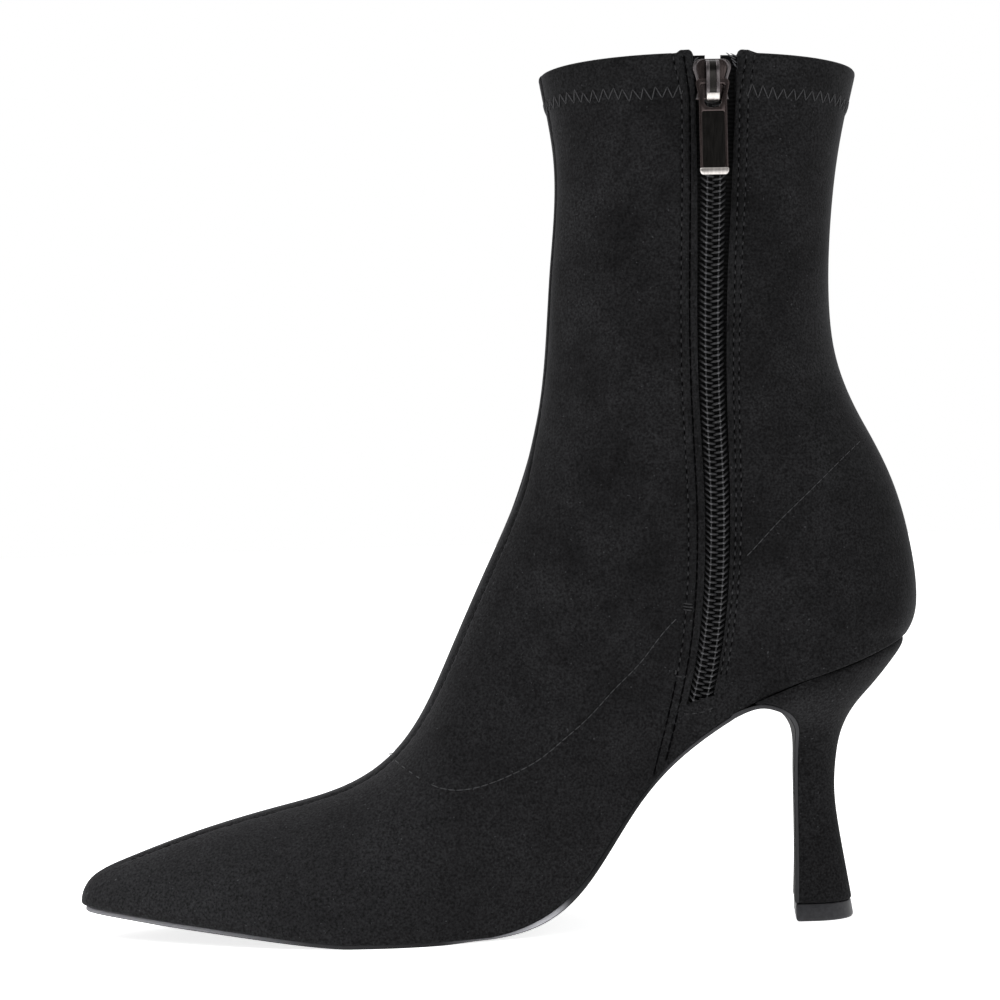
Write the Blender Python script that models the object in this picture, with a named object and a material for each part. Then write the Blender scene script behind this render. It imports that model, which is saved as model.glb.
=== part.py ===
"""Right ankle boot in stretch suede, with a pointed toe, a waisted high heel and a zip on its inner side.

X runs from the toe to the heel, Y from the inner side of the foot to the outer, and Z up from the floor.
The tables are in millimetres, with X measured from the toe tip; MM turns them into metres.
"""

import math

import bmesh
import bpy
import numpy as np
from mathutils import Matrix, Vector

MM = 0.001
COLLECTION = "stretch_boot"
CUTTERS = "stretch_boot_cutters"

# Driving sizes
GAP = 0.3 * MM
WALL = 1.8 * MM
SOLE_THICKNESS = 1.5 * MM
SOLE_EDGE_ROUND = 0.25 * MM
TREAD_LEVEL = GAP + SOLE_THICKNESS
INSOLE_THICKNESS = 2.2 * MM
INSOLE_CLEARANCE = 0.9 * MM
INSOLE_ENDS = (9 * MM, 239 * MM)
HEEL_ROUND = 30 * MM
ANKLE_LOW = 62 * MM
ANKLE_HIGH = 128 * MM
SEAM_RISE = 0.6 * MM
COLLAR_RISE = 1.4 * MM
COLLAR_CROWN_STARTS = 0.9
ARCH_POWER = 1.9
SHAFT_POWER = 2.1
FULLNESS_SHARE = 0.05
MOST_FULLNESS = 1.8 * MM
SWELL_PEAK = 27 / 4
SHARP_EDGE = math.radians(35)

# The centre line of the upper from the toe over the vamp and up the front of the shaft
FRONT_LINE = (
    # x, z
    (0.0, 9.9),
    (0.2, 12.3),
    (1.3, 15.0),
    (3.0, 17.2),
    (5.8, 19.2),
    (14.5, 22.8),
    (32.0, 29.0),
    (59.0, 36.3),
    (81.0, 43.0),
    (90.6, 49.2),
    (99.9, 60.0),
    (109.1, 77.4),
    (123.0, 106.8),
    (132.4, 127.5),
    (139.5, 153.8),
    (143.4, 192.0),
    (145.3, 226.0),
    (143.7, 239.0),
    (142.0, 248.8),
)

# The centre line up the back, from the heel seat to the collar
BACK_LINE = (
    # x, z
    (243.8, 82.2),
    (245.4, 84.6),
    (246.7, 87.6),
    (247.6, 94.4),
    (246.6, 107.1),
    (242.4, 124.9),
    (235.2, 141.5),
    (228.9, 154.5),
    (225.3, 170.0),
    (224.8, 188.0),
    (227.6, 217.0),
    (230.4, 232.5),
    (233.8, 247.2),
)

# The edge where upper and sole meet, with the half-widths of the last on the inner and outer side, and the
# thickness of the sole below it
FEATHER_LINE = (
    # x, z, inner, outer, thickness
    (0.0, 9.9, 0.0, 0.0, 1.3),
    (2.0, 9.6, 4.8, 4.8, 1.3),
    (6.0, 9.1, 7.8, 8.0, 1.3),
    (14.0, 8.2, 12.0, 12.5, 1.3),
    (28.0, 6.8, 18.5, 19.5, 1.4),
    (45.0, 5.2, 25.6, 27.6, 1.5),
    (62.0, 3.4, 31.4, 34.5, 1.5),
    (78.0, 1.9, 34.4, 38.5, 1.5),
    (94.0, 1.5, 34.8, 40.0, 1.5),
    (107.0, 1.7, 32.5, 39.4, 1.5),
    (120.0, 2.6, 28.2, 37.0, 1.3),
    (133.0, 6.3, 24.3, 33.6, 1.9),
    (146.5, 15.8, 21.6, 30.0, 1.6),
    (162.4, 37.8, 20.6, 27.2, 0.8),
    (181.0, 55.4, 21.8, 25.8, 0.65),
    (195.5, 64.2, 23.6, 25.6, 0.6),
    (210.0, 70.4, 25.0, 25.6, 0.6),
    (227.0, 75.8, 25.3, 25.5, 0.6),
    (243.8, 82.2, 25.2, 25.4, 0.6),
)

# The shaft's half-width at each height
SHAFT_WIDTH = (
    # z, half
    (60.0, 29.0),
    (90.0, 29.2),
    (120.0, 29.8),
    (145.0, 29.2),
    (185.0, 27.0),
    (215.0, 27.6),
    (238.0, 29.4),
    (252.0, 30.6),
)

# Rings round the upper from the feather line to the collar. Each runs from a point on the front line to one
# on the back line, both as shares of those lines. Sag is how far a ring follows the feather line between
# its ends, and rings is how many of them lead to this row.
RINGS = (
    # front, back, sag, rings
    (0.00, 0.00, 1.00, 0),
    (0.19, 0.06, 0.96, 8),
    (0.35, 0.13, 0.85, 4),
    (0.44, 0.21, 0.60, 3),
    (0.57, 0.33, 0.30, 4),
    (0.70, 0.51, 0.10, 4),
    (0.82, 0.70, 0.00, 3),
    (0.93, 0.89, 0.00, 3),
    (1.00, 1.00, 0.00, 2),
)
TOE_CROWDING = 1.8

# Places of a ring's points on one side, as turns from the front of the boot (0) to the back (180 degrees)
TOE_TURNS = (0, 3, 9, 16, 24, 32, 41, 50, 60, 70, 79, 87)
ARCH_TURNS = (93, 97.5, 102, 106.5, 111, 115.5, 120, 125)
HEEL_TURNS = (130, 136, 142, 149, 157, 165, 173, 180)
HALF_TURNS = np.radians(TOE_TURNS + ARCH_TURNS + HEEL_TURNS)

# The zip, from the collar down to its closed end on the inner side
ZIP_LINE = (
    # x, z
    (190.3, 258.0),
    (189.6, 215.0),
    (188.3, 185.7),
    (187.4, 151.0),
    (187.7, 125.0),
    (187.3, 106.0),
    (185.8, 88.0),
    (183.4, 73.5),
    (181.6, 65.6),
)
# Distances along the zip's line, which starts 8 mm above the collar
SLOT_ENDS = (0.0, 192.8 * MM)
TAPE_ENDS = (9.5 * MM, 193.2 * MM)
SLIDER_AT = 16.4 * MM
COIL_STARTS = SLIDER_AT + 6.4 * MM
COIL_ENDS = 192.0 * MM
SLOT_HALF = (6.1 * MM, 4.6 * MM)
SLOT_CUT = (-4 * MM, 9 * MM)
SLOT_STATIONS = 24
SLOT_TAPER_LENGTH = 70 * MM
TAPE_WIDTH = (13 * MM, 5.5 * MM)
TAPE_TAPER = (150 * MM, 185 * MM)
TAPE_THICKNESS = 0.6 * MM
TAPE_DEPTH = WALL + 0.6 * MM
TAPE_CLOSING = (COIL_STARTS - 3 * MM, COIL_STARTS + 6 * MM)
TAPE_STATIONS = 26
TAPE_COLUMNS = 4
COIL_WIDTH = 3.2 * MM
COIL_HEIGHT = 1.8 * MM
COIL_STATIONS = 34
NECK_CLEARANCE = 2.3 * MM

# Slider and pull tab, in the slider's own frame: X across the zip, -Y out of the boot, Z up along the zip
PLATE_OUTLINE = (
    # x, z
    (2.4, 6.2),
    (4.6, 5.6),
    (5.6, 3.9),
    (5.2, 2.0),
    (4.2, -1.6),
    (4.3, -4.4),
    (4.7, -5.8),
)
PLATE_OUT = (0.35 * MM, 1.45 * MM)
NECK_HALF = 1.5 * MM
NECK_ENDS = (-0.8 * MM, 4.8 * MM)
LOWER_PLATE_OUT = (-5.3 * MM, -4.2 * MM)
LOWER_PLATE_SCALE = (0.8, 0.85)
BRIDGE_HALF = 1.9 * MM
BRIDGE_OUTSIDE = (
    # out, z
    (1.0, 6.0),
    (3.6, 5.4),
    (4.7, 4.0),
    (4.9, 0.0),
    (4.5, -4.0),
    (3.4, -5.2),
    (1.0, -5.6),
)
BRIDGE_INSIDE = (
    # out, z
    (1.0, -4.4),
    (3.3, -4.0),
    (3.75, -2.6),
    (3.85, 1.0),
    (3.7, 3.2),
    (3.0, 4.4),
    (1.0, 4.8),
)
PIVOT_OUT = 2.75 * MM
PIVOT_Z = -0.8 * MM
TAB_HALF = 3.95 * MM
TAB_ENDS = (-26.3 * MM, 0.7 * MM)
TAB_THICKNESS = 1.4 * MM
TAB_CORNER = 1.1 * MM
WINDOW_HALF = 2.4 * MM
WINDOW_ENDS = (-7.5 * MM, -0.7 * MM)
PANEL_HALF = 2.9 * MM
PANEL_ENDS = (-23.6 * MM, -9.2 * MM)
PANEL_DEPTH = 0.35 * MM

# Heel block from the seat down to the tip: each section runs from a point on the breast to one on the back
HEEL_SECTIONS = (
    # breast_x, breast_z, back_x, back_z, half
    (197.4, 64.6, 243.5, 81.9, 25.0),
    (199.8, 64.95, 243.3, 80.3, 25.1),
    (203.4, 64.0, 241.5, 77.2, 24.3),
    (207.0, 61.9, 237.9, 72.6, 21.8),
    (209.8, 59.3, 233.5, 67.5, 18.4),
    (211.7, 56.6, 229.2, 62.7, 15.0),
    (212.6, 52.6, 225.1, 56.2, 11.5),
    (212.4, 45.6, 222.6, 46.8, 8.9),
    (212.1, 36.6, 221.8, 36.6, 7.5),
    (212.1, 28.0, 222.5, 28.0, 7.4),
    (212.1, 17.0, 224.1, 17.0, 8.4),
    (211.9, 5.2, 225.9, 5.2, 10.2),
)
HEEL_ROWS = 26
HEEL_FLAT_SHARE = 0.3
HEEL_SIDE_POINTS = 9

# The heel tip's sections, from its top to the floor
TIP_SECTIONS = (
    # front_x, back_x, half, z
    (210.2, 226.0, 10.3, 4.9),
    (210.9, 226.6, 10.4, 0.8),
    (211.4, 226.2, 10.0, 0.0),
)

# The sole runs on from the waist over the breast of the heel, down to the tip
BREAST_LINE = (
    # x, z, half
    (195.7, 63.6, 24.2),
    (199.4, 64.6, 24.5),
    (203.2, 63.6, 23.8),
    (206.7, 61.5, 21.2),
    (209.5, 58.8, 17.4),
    (211.4, 55.9, 14.0),
    (212.2, 52.0, 10.8),
    (212.0, 45.4, 8.4),
    (211.7, 36.6, 7.1),
    (211.7, 28.0, 7.0),
    (211.7, 17.0, 8.0),
    (211.5, 5.5, 9.7),
)
BREAST_THICKNESS = 0.6 * MM
WAIST_END = 190.0 * MM
SOLE_STARTS = 1.2 * MM
SOLE_STATIONS = 54
BREAST_STATIONS = 27
FLAT_TOLERANCE = 0.02 * MM
INSOLE_STATIONS = 56

# Finish of each sub-part: colour, roughness, metallic
FINISHES = {
    "suede": ((0.016, 0.016, 0.018), 0.95, 0.0),
    "lining": ((0.045, 0.042, 0.04), 0.9, 0.0),
    "sole": ((0.03, 0.03, 0.033), 0.35, 0.0),
    "heel_tip": ((0.012, 0.012, 0.013), 0.4, 0.0),
    "tape": ((0.012, 0.012, 0.013), 0.9, 0.0),
    "coil": ((0.02, 0.02, 0.022), 0.5, 0.0),
    "gunmetal": ((0.11, 0.1, 0.1), 0.25, 1.0),
}


def in_metres(rows):
    return np.array(rows, float) * MM


def spline(knots, values, at):
    """Natural cubic spline through the values at the knots, read at the given places."""
    values = np.asarray(values, float).reshape(len(knots), -1)
    step = np.diff(knots)[:, None]
    slope = np.diff(values, axis=0) / step
    system = np.eye(len(knots))
    bend = np.zeros_like(values)
    for i in range(1, len(knots) - 1):
        before, after = step[i - 1, 0], step[i, 0]
        system[i, i - 1 : i + 2] = before, 2 * (before + after), after
        bend[i] = 6 * (slope[i] - slope[i - 1])
    bend = np.linalg.solve(system, bend)
    at = np.atleast_1d(at)
    cell = np.clip(np.searchsorted(knots, at) - 1, 0, len(step) - 1)
    width = step[cell]
    low = (knots[cell + 1] - at)[:, None]
    high = (at - knots[cell])[:, None]
    cubic = (bend[cell] * low**3 + bend[cell + 1] * high**3) / (6 * width)
    line_low = (values[cell] / width - bend[cell] * width / 6) * low
    line_high = (values[cell + 1] / width - bend[cell + 1] * width / 6) * high
    return cubic + line_low + line_high


def lengths(points):
    return np.concatenate([[0.0], np.cumsum(np.linalg.norm(np.diff(points, axis=0), axis=1))])


def smooth_curve(rows, samples=600):
    """Dense points of the smooth curve through the rows."""
    rows = in_metres(rows)
    knots = lengths(rows)
    return spline(knots, rows, np.linspace(0, knots[-1], samples))


def at_length(points, distance):
    """Points of a dense curve at these distances from its start."""
    run = lengths(points)
    return np.stack([np.interp(distance, run, column) for column in points.T], axis=-1)


def smoothstep(low, high, value):
    share = np.clip((value - low) / (high - low), 0, 1)
    return share * share * (3 - 2 * share)


FRONT = smooth_curve(FRONT_LINE)
BACK = smooth_curve(BACK_LINE)
ZIP = smooth_curve(ZIP_LINE)
FEATHER = in_metres(FEATHER_LINE)
SHAFT = in_metres(SHAFT_WIDTH)
COLLAR_Z = FRONT[-1, 1] + COLLAR_RISE
INNER, OUTER = -1, 1


def feather_z(x):
    """Height of the feather line, flat where the forefoot stands on the floor."""
    height = spline(FEATHER[:, 0], FEATHER[:, 1], np.ravel(x))[:, 0]
    return np.maximum(height, TREAD_LEVEL).reshape(np.shape(x))


def last_width(x, side):
    """Half-width of the last at the feather line, round at the toe and not yet rounded off at the heel."""
    column = FEATHER[:, 2 if side == INNER else 3]
    reach = np.sqrt(np.maximum(np.ravel(x), 0))
    return spline(np.sqrt(FEATHER[:, 0]), column, reach)[:, 0].reshape(np.shape(x))


def instep_z(x):
    """Height of the front line above x, up to the collar behind the shaft's front."""
    rising = np.maximum.accumulate(FRONT[:, 0])
    return np.where(x >= rising[-1] - GAP, COLLAR_Z, np.interp(x, rising, FRONT[:, 1]))


def heel_rounding(x, z):
    """One along the sides, falling to zero round the back of the heel."""
    back = np.interp(z, BACK[:, 1], BACK[:, 0])
    share = np.clip((x - back + HEEL_ROUND) / HEEL_ROUND, 0, 1)
    return np.sqrt(1 - share**2)


def foot_width(x, z, side):
    """Half-width of the foot: a rounded arch over the feather line, a little fuller above it."""
    bottom = feather_z(x)
    height = np.maximum(instep_z(x) - bottom, 0.1 * MM)
    rise = np.clip((z - bottom) / height, 0, 1)
    swell = SWELL_PEAK * rise * (1 - rise) ** 2
    fullness = np.minimum(FULLNESS_SHARE * height, MOST_FULLNESS)
    arch = (1 - rise**ARCH_POWER) ** (1 / ARCH_POWER)
    return (last_width(x, side) * arch + fullness * swell) * heel_rounding(x, z)


def shaft_width(x, z):
    """Half-width of the oval shaft."""
    front = np.interp(z, FRONT[:, 1], FRONT[:, 0])
    back = np.interp(z, BACK[:, 1], BACK[:, 0])
    share = np.clip((x - front) / (back - front), 0, 1)
    height = np.clip(np.ravel(z), SHAFT[0, 0], SHAFT[-1, 0])
    half = spline(SHAFT[:, 0], SHAFT[:, 1], height)[:, 0].reshape(np.shape(z))
    return half * np.sqrt(1 - np.abs(2 * share - 1) ** SHAFT_POWER)


def half_width(x, z, side):
    """Distance of the upper's outer face from the centre plane, seen from the side at (x, z)."""
    low = np.maximum(feather_z(x), ANKLE_LOW)
    mix = smoothstep(low, np.maximum(ANKLE_HIGH, low + 1 * MM), z)
    return (1 - mix) * foot_width(x, z, side) + mix * shaft_width(x, z)


def ring_rows():
    """The rows of RINGS and the rings between them, crowded towards the toe in the first stretch."""
    rows = np.array(RINGS, float)
    places = [0.0]
    for index, count in enumerate(rows[1:, 3].astype(int)):
        shares = np.arange(1, count + 1) / count
        places += list(index + (shares**TOE_CROWDING if index == 0 else shares))
    filled = spline(np.arange(len(rows)), rows[:, :3], np.array(places))
    filled[0] = rows[0, :3]
    filled[-1] = rows[-1, :3]
    return filled


def ring_line(front_share, back_share, sag):
    """One ring seen from the side: x and z for each half turn."""
    front = at_length(FRONT, front_share * lengths(FRONT)[-1])
    back = at_length(BACK, back_share * lengths(BACK)[-1])
    share = (1 - np.cos(HALF_TURNS)) / 2
    x = front[0] + share * (back[0] - front[0])
    straight = front[1] + share * (back[1] - front[1])
    lifts = front[1] - feather_z(front[0]), back[1] - feather_z(back[0])
    following = feather_z(x) + lifts[0] + share * (lifts[1] - lifts[0])
    crown = COLLAR_RISE * smoothstep(COLLAR_CROWN_STARTS, 1, front_share) * np.sin(HALF_TURNS)
    return x, sag * following + (1 - sag) * straight + crown


def outer_rings():
    """The upper's outer face as rings, each from the front round the inner side and back by the outer."""
    rings = []
    for front_share, back_share, sag in ring_rows():
        x, z = ring_line(front_share, back_share, sag)
        inner = -half_width(x, z, INNER)
        outer = half_width(x, z, OUTER)
        inner[[0, -1]] = outer[[0, -1]] = 0
        there = np.stack([x, inner, z], axis=1)
        home = np.stack([x, outer, z], axis=1)[-2:0:-1]
        rings.append(np.concatenate([there, home]))
    return np.array(rings)


def outward(rings):
    """Unit normals of a grid of rings."""
    around = np.roll(rings, -1, axis=1) - np.roll(rings, 1, axis=1)
    upward = np.gradient(rings, axis=0)
    normal = np.cross(around, upward)
    return normal / np.linalg.norm(normal, axis=2, keepdims=True)


def inner_rings(rings):
    """The lining side of the wall. Its lowest ring stays level with the feather line."""
    normal = outward(rings)
    lining = rings - WALL * normal
    flat = normal[0] * (1, 1, 0)
    flat /= np.linalg.norm(flat, axis=1, keepdims=True)
    lining[0] = rings[0] - WALL * flat
    lining[0, :, 2] = feather_z(lining[0, :, 0])
    return lining


def on_inner_side(x, z, depth):
    """Points of the inner side at (x, z), sunk by depth under the outer face."""
    step = 0.5 * MM
    across = (half_width(x + step, z, INNER) - half_width(x - step, z, INNER)) / (2 * step)
    upward = (half_width(x, z + step, INNER) - half_width(x, z - step, INNER)) / (2 * step)
    normal = np.stack([-across, -np.ones_like(across), -upward], axis=-1)
    normal /= np.linalg.norm(normal, axis=-1, keepdims=True)
    return np.stack([x, -half_width(x, z, INNER), z], axis=-1) - depth * normal


def zip_station(distance):
    """Point of the zip line at this distance from its top, in side view, and the way towards the heel."""
    here = at_length(ZIP, distance)
    run = at_length(ZIP, distance + 1 * MM) - at_length(ZIP, distance - 1 * MM)
    run /= np.linalg.norm(run)
    return here, np.array([-run[1], run[0]])


def new_object(name, mesh, collection, finish=None):
    made = bpy.data.objects.new(name, mesh)
    bpy.data.collections[collection].objects.link(made)
    if finish:
        mesh.materials.append(bpy.data.materials[finish])
    return made


def mesh_from(build, name):
    """A mesh of what the bmesh holds, faces pointing out and quads split along their short diagonal."""
    bmesh.ops.recalc_face_normals(build, faces=build.faces)
    bmesh.ops.triangulate(build, faces=build.faces, quad_method="SHORT_EDGE")
    mesh = bpy.data.meshes.new(name)
    build.to_mesh(mesh)
    build.free()
    return mesh


def loft(name, sections, ends="caps"):
    """Mesh through closed sections of equal counts of points, its ends capped or joined to each other."""
    build = bmesh.new()
    loops = [[build.verts.new(point) for point in section] for section in sections]
    pairs = list(zip(loops, loops[1:]))
    if ends == "joined":
        pairs.append((loops[-1], loops[0]))
    for low, high in pairs:
        for i in range(len(low)):
            build.faces.new((low[i - 1], low[i], high[i], high[i - 1]))
    if ends == "caps":
        build.faces.new(loops[0])
        build.faces.new(loops[-1])
    return mesh_from(build, name)


def prism(name, outline, start, end, axis):
    """Mesh of a flat outline (across, z) pushed out along -Y, or of one (out, z) pushed along X."""
    build = bmesh.new()
    if axis == "Y":
        points = [(across, -start, z) for across, z in outline]
        push = Vector((0, start - end, 0))
    else:
        points = [(start, -out, z) for out, z in outline]
        push = Vector((end - start, 0, 0))
    face = build.faces.new([build.verts.new(point) for point in points])
    grown = bmesh.ops.extrude_face_region(build, geom=[face])["geom"]
    moved = [item for item in grown if isinstance(item, bmesh.types.BMVert)]
    bmesh.ops.translate(build, verts=moved, vec=push)
    return mesh_from(build, name)


def rounded_rectangle(half, low, high, corner, steps=4):
    """Outline of a plate with its corners rounded."""
    points = []
    middles = ((half - corner, high - corner), (corner - half, high - corner))
    middles += ((corner - half, low + corner), (half - corner, low + corner))
    for quarter, (x, z) in enumerate(middles):
        for step in range(steps + 1):
            angle = math.pi / 2 * (quarter + step / steps)
            points.append((x + corner * math.cos(angle), z + corner * math.sin(angle)))
    return points


def combine(target, mesh, operation):
    """Cuts the mesh from the target, or joins it to the target, with a helper that isn't rendered."""
    helper = new_object(f"{target.name}_{operation.lower()}_{len(target.modifiers)}", mesh, CUTTERS)
    helper.matrix_world = target.matrix_world
    helper.hide_render = True
    helper.display_type = "WIRE"
    modifier = target.modifiers.new(helper.name, "BOOLEAN")
    modifier.operation = operation
    modifier.solver = "EXACT"
    modifier.object = helper


def zip_sections(distances, across_low, across_high, depths, columns):
    """Closed sections of a strip along the zip, between two offsets across it and two depths."""
    sections = []
    for distance in distances:
        here, towards_heel = zip_station(distance)
        offsets = np.linspace(across_low(distance), across_high(distance), columns)
        x = here[0] + offsets * towards_heel[0]
        z = here[1] + offsets * towards_heel[1]
        outer = on_inner_side(x, z, depths[0])
        inner = on_inner_side(x, z, depths[1])
        sections.append(np.concatenate([outer, inner[::-1]]))
    return sections


def slot_half(distance):
    """Half of the slot's width: it opens a little towards the collar."""
    share = smoothstep(0, SLOT_TAPER_LENGTH, distance)
    return SLOT_HALF[0] + share * (SLOT_HALF[1] - SLOT_HALF[0])


def make_upper():
    rings = outer_rings()
    lining = inner_rings(rings)
    rings[:, 0] += SEAM_RISE * outward(rings)[:, 0]
    shell = np.concatenate([rings, lining[::-1]])
    upper = new_object("upper", loft("upper", shell, ends="joined"), COLLECTION, "suede")
    distances = np.linspace(*SLOT_ENDS, SLOT_STATIONS)
    sections = zip_sections(distances, lambda d: -slot_half(d), slot_half, SLOT_CUT, columns=2)
    combine(upper, loft("zip_slot", sections), "DIFFERENCE")
    return upper


def tape_edge(distance):
    """Offset of a tape's edge from the zip's middle: the tapes part round the slider's neck."""
    closed = GAP / 2
    return closed + (NECK_CLEARANCE - closed) * (1 - smoothstep(*TAPE_CLOSING, distance))


def tape_reach(distance):
    """Offset of a tape's far edge, which draws in towards the closed end of the zip."""
    return TAPE_WIDTH[0] + (TAPE_WIDTH[1] - TAPE_WIDTH[0]) * smoothstep(*TAPE_TAPER, distance)


def zip_strip(name, finish, distances, offsets, depths, columns):
    low, high = offsets
    sections = zip_sections(distances, low, high, depths, columns)
    new_object(name, loft(name, sections), COLLECTION, finish)


def make_zip():
    tape_distances = np.linspace(*TAPE_ENDS, TAPE_STATIONS)
    coil_distances = np.linspace(COIL_STARTS, COIL_ENDS, COIL_STATIONS)
    tape_depths = (TAPE_DEPTH, TAPE_DEPTH + TAPE_THICKNESS)
    coil_bottom = TAPE_DEPTH - GAP
    coil_depths = (coil_bottom - COIL_HEIGHT, coil_bottom)
    for side, name in ((-1, "front"), (1, "rear")):
        tape = (lambda d: side * tape_edge(d), lambda d: side * tape_reach(d))
        coil = (lambda d: side * GAP / 2, lambda d: side * COIL_WIDTH)
        zip_strip(f"zip_tape_{name}", "tape", tape_distances, tape, tape_depths, TAPE_COLUMNS)
        zip_strip(f"zip_coil_{name}", "coil", coil_distances, coil, coil_depths, columns=2)


def slider_frame():
    """Place of the slider: X across the zip towards the heel, Y into the boot and Z up along the zip."""
    (x, z), _ = zip_station(SLIDER_AT)
    (x_above, z_above), _ = zip_station(SLIDER_AT - PLATE_OUTLINE[0][1] * MM)
    here = Vector(on_inner_side(np.array(x), np.array(z), 0))
    above = Vector(on_inner_side(np.array(x_above), np.array(z_above), 0))
    inward = (Vector(on_inner_side(np.array(x), np.array(z), WALL)) - here).normalized()
    up = above - here
    up = (up - up.project(inward)).normalized()
    across = inward.cross(up)
    turn = Matrix((across, inward, up)).transposed().to_4x4()
    return Matrix.Translation(here) @ turn


def make_slider(frame):
    half = [(x * MM, z * MM) for x, z in PLATE_OUTLINE]
    outline = half + [(-x, z) for x, z in reversed(half)]
    plate = prism("zip_slider", outline, *PLATE_OUT, "Y")
    slider = new_object("zip_slider", plate, COLLECTION, "gunmetal")
    slider.matrix_world = frame
    bottom, top = NECK_ENDS
    neck = [(-NECK_HALF, bottom), (NECK_HALF, bottom), (NECK_HALF, top), (-NECK_HALF, top)]
    combine(slider, prism("slider_neck", neck, LOWER_PLATE_OUT[0] + GAP, PLATE_OUT[1] - GAP, "Y"), "UNION")
    lower = [(LOWER_PLATE_SCALE[0] * x, LOWER_PLATE_SCALE[1] * z) for x, z in outline]
    combine(slider, prism("slider_lower_plate", lower, *LOWER_PLATE_OUT, "Y"), "UNION")
    bridge = [(out * MM, z * MM) for out, z in BRIDGE_OUTSIDE + BRIDGE_INSIDE]
    combine(slider, prism("slider_bridge", bridge, -BRIDGE_HALF, BRIDGE_HALF, "X"), "UNION")
    return slider


def make_pull_tab(frame):
    """The tab hangs plumb from its hinge in the slider's bridge, with its origin on the hinge's axis."""
    half_thick = TAB_THICKNESS / 2
    outline = rounded_rectangle(TAB_HALF, *TAB_ENDS, TAB_CORNER)
    plate = prism("zip_pull_tab", outline, -half_thick, half_thick, "Y")
    tab = new_object("zip_pull_tab", plate, COLLECTION, "gunmetal")
    hinge = Matrix.Translation(Vector((0, -PIVOT_OUT, PIVOT_Z)))
    up = frame.to_3x3().col[2]
    plumb = Matrix.Rotation(math.atan2(up.y, up.z), 4, "X")
    tab.matrix_world = frame @ hinge @ plumb
    window = rounded_rectangle(WINDOW_HALF, *WINDOW_ENDS, TAB_CORNER / 2, steps=2)
    combine(tab, prism("tab_window", window, -2 * half_thick, 2 * half_thick, "Y"), "DIFFERENCE")
    panel = rounded_rectangle(PANEL_HALF, *PANEL_ENDS, TAB_CORNER / 2, steps=2)
    combine(tab, prism("tab_panel", panel, half_thick - PANEL_DEPTH, 2 * half_thick, "Y"), "DIFFERENCE")
    return tab


def sole_line():
    """The sole's upper face in side view, from the toe to the heel tip: x, z, two half-widths and thickness."""
    toe_to_waist = np.linspace(math.sqrt(SOLE_STARTS), math.sqrt(WAIST_END), SOLE_STATIONS) ** 2
    forefoot = np.stack([toe_to_waist, feather_z(toe_to_waist)], axis=1)
    way = np.gradient(forefoot, axis=0)
    way /= np.linalg.norm(way, axis=1, keepdims=True)
    forefoot -= GAP * np.stack([-way[:, 1], way[:, 0]], axis=1)
    thickness = spline(FEATHER[:, 0], FEATHER[:, 4], toe_to_waist)
    widths = np.stack([last_width(toe_to_waist, INNER), last_width(toe_to_waist, OUTER)], axis=1)
    breast = in_metres(BREAST_LINE)[:, [0, 1, 2, 2]]
    breast = np.insert(breast, 4, BREAST_THICKNESS, axis=1)
    joined = np.concatenate([np.hstack([forefoot, widths, thickness]), breast])
    knots = lengths(joined[:, :2])
    to_tip = np.linspace(knots[SOLE_STATIONS - 1], knots[-1], BREAST_STATIONS)
    return spline(knots, joined, np.concatenate([knots[:SOLE_STATIONS], to_tip[1:]]))


def make_outsole():
    line = sole_line()
    way = np.gradient(line[:, :2], axis=0)
    way /= np.linalg.norm(way, axis=1, keepdims=True)
    below = np.stack([way[:, 1], -way[:, 0]], axis=1)
    flat = np.abs(line[:, 1] - SOLE_THICKNESS) < FLAT_TOLERANCE
    below[flat] = (0, -1)
    line[flat, 1] = line[flat, 4] = SOLE_THICKNESS
    sections = []
    for (x, z, inner, outer, thick), down in zip(line, below):
        one_side = []
        other_side = []
        for drop, inset in ((0, 0), (thick - SOLE_EDGE_ROUND, 0), (thick, SOLE_EDGE_ROUND)):
            at_x = x + drop * down[0]
            at_z = z + drop * down[1]
            one_side.append((at_x, inset - inner, at_z))
            other_side.append((at_x, outer - inset, at_z))
        sections.append(one_side + other_side[::-1])
    return new_object("outsole", loft("outsole", sections), COLLECTION, "sole")


def make_insole():
    x = np.linspace(*np.sqrt(INSOLE_ENDS), INSOLE_STATIONS) ** 2
    bottom = feather_z(x)
    inset = WALL + INSOLE_CLEARANCE
    inner = last_width(x, INNER) * heel_rounding(x + inset, bottom) - inset
    outer = last_width(x, OUTER) * heel_rounding(x + inset, bottom) - inset
    sections = []
    for place, low, one, other in zip(x, bottom, inner, outer):
        top = low + INSOLE_THICKNESS
        sections.append([(place, -one, low), (place, other, low), (place, other, top), (place, -one, top)])
    return new_object("insole", loft("insole", sections), COLLECTION, "lining")


def d_section(front, back, half):
    """A D seen from above: flat across the front, straight a little way back and rounded behind."""
    turns = np.linspace(0, math.pi / 2, HEEL_SIDE_POINTS)
    share = HEEL_FLAT_SHARE + (1 - HEEL_FLAT_SHARE) * np.sin(turns)
    along = np.concatenate([[0.0], share])
    across = half * np.concatenate([[1.0], np.cos(turns)])
    across[-1] = 0
    x = front[0] + along * (back[0] - front[0])
    z = front[1] + along * (back[1] - front[1])
    one = np.stack([x, -across, z], axis=1)
    other = np.stack([x, across, z], axis=1)[-2::-1]
    return np.concatenate([one, other])


def make_heel():
    rows = in_metres(HEEL_SECTIONS)
    knots = lengths(rows[:, :2]) + lengths(rows[:, 2:4])
    filled = spline(knots, rows, np.linspace(0, knots[-1], HEEL_ROWS))
    sections = [d_section(row[:2], row[2:4], row[4]) for row in filled]
    seat = sections[0]
    seat[:, 2] = feather_z(seat[:, 0]) - GAP
    return new_object("heel", loft("heel", sections), COLLECTION, "suede")


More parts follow.
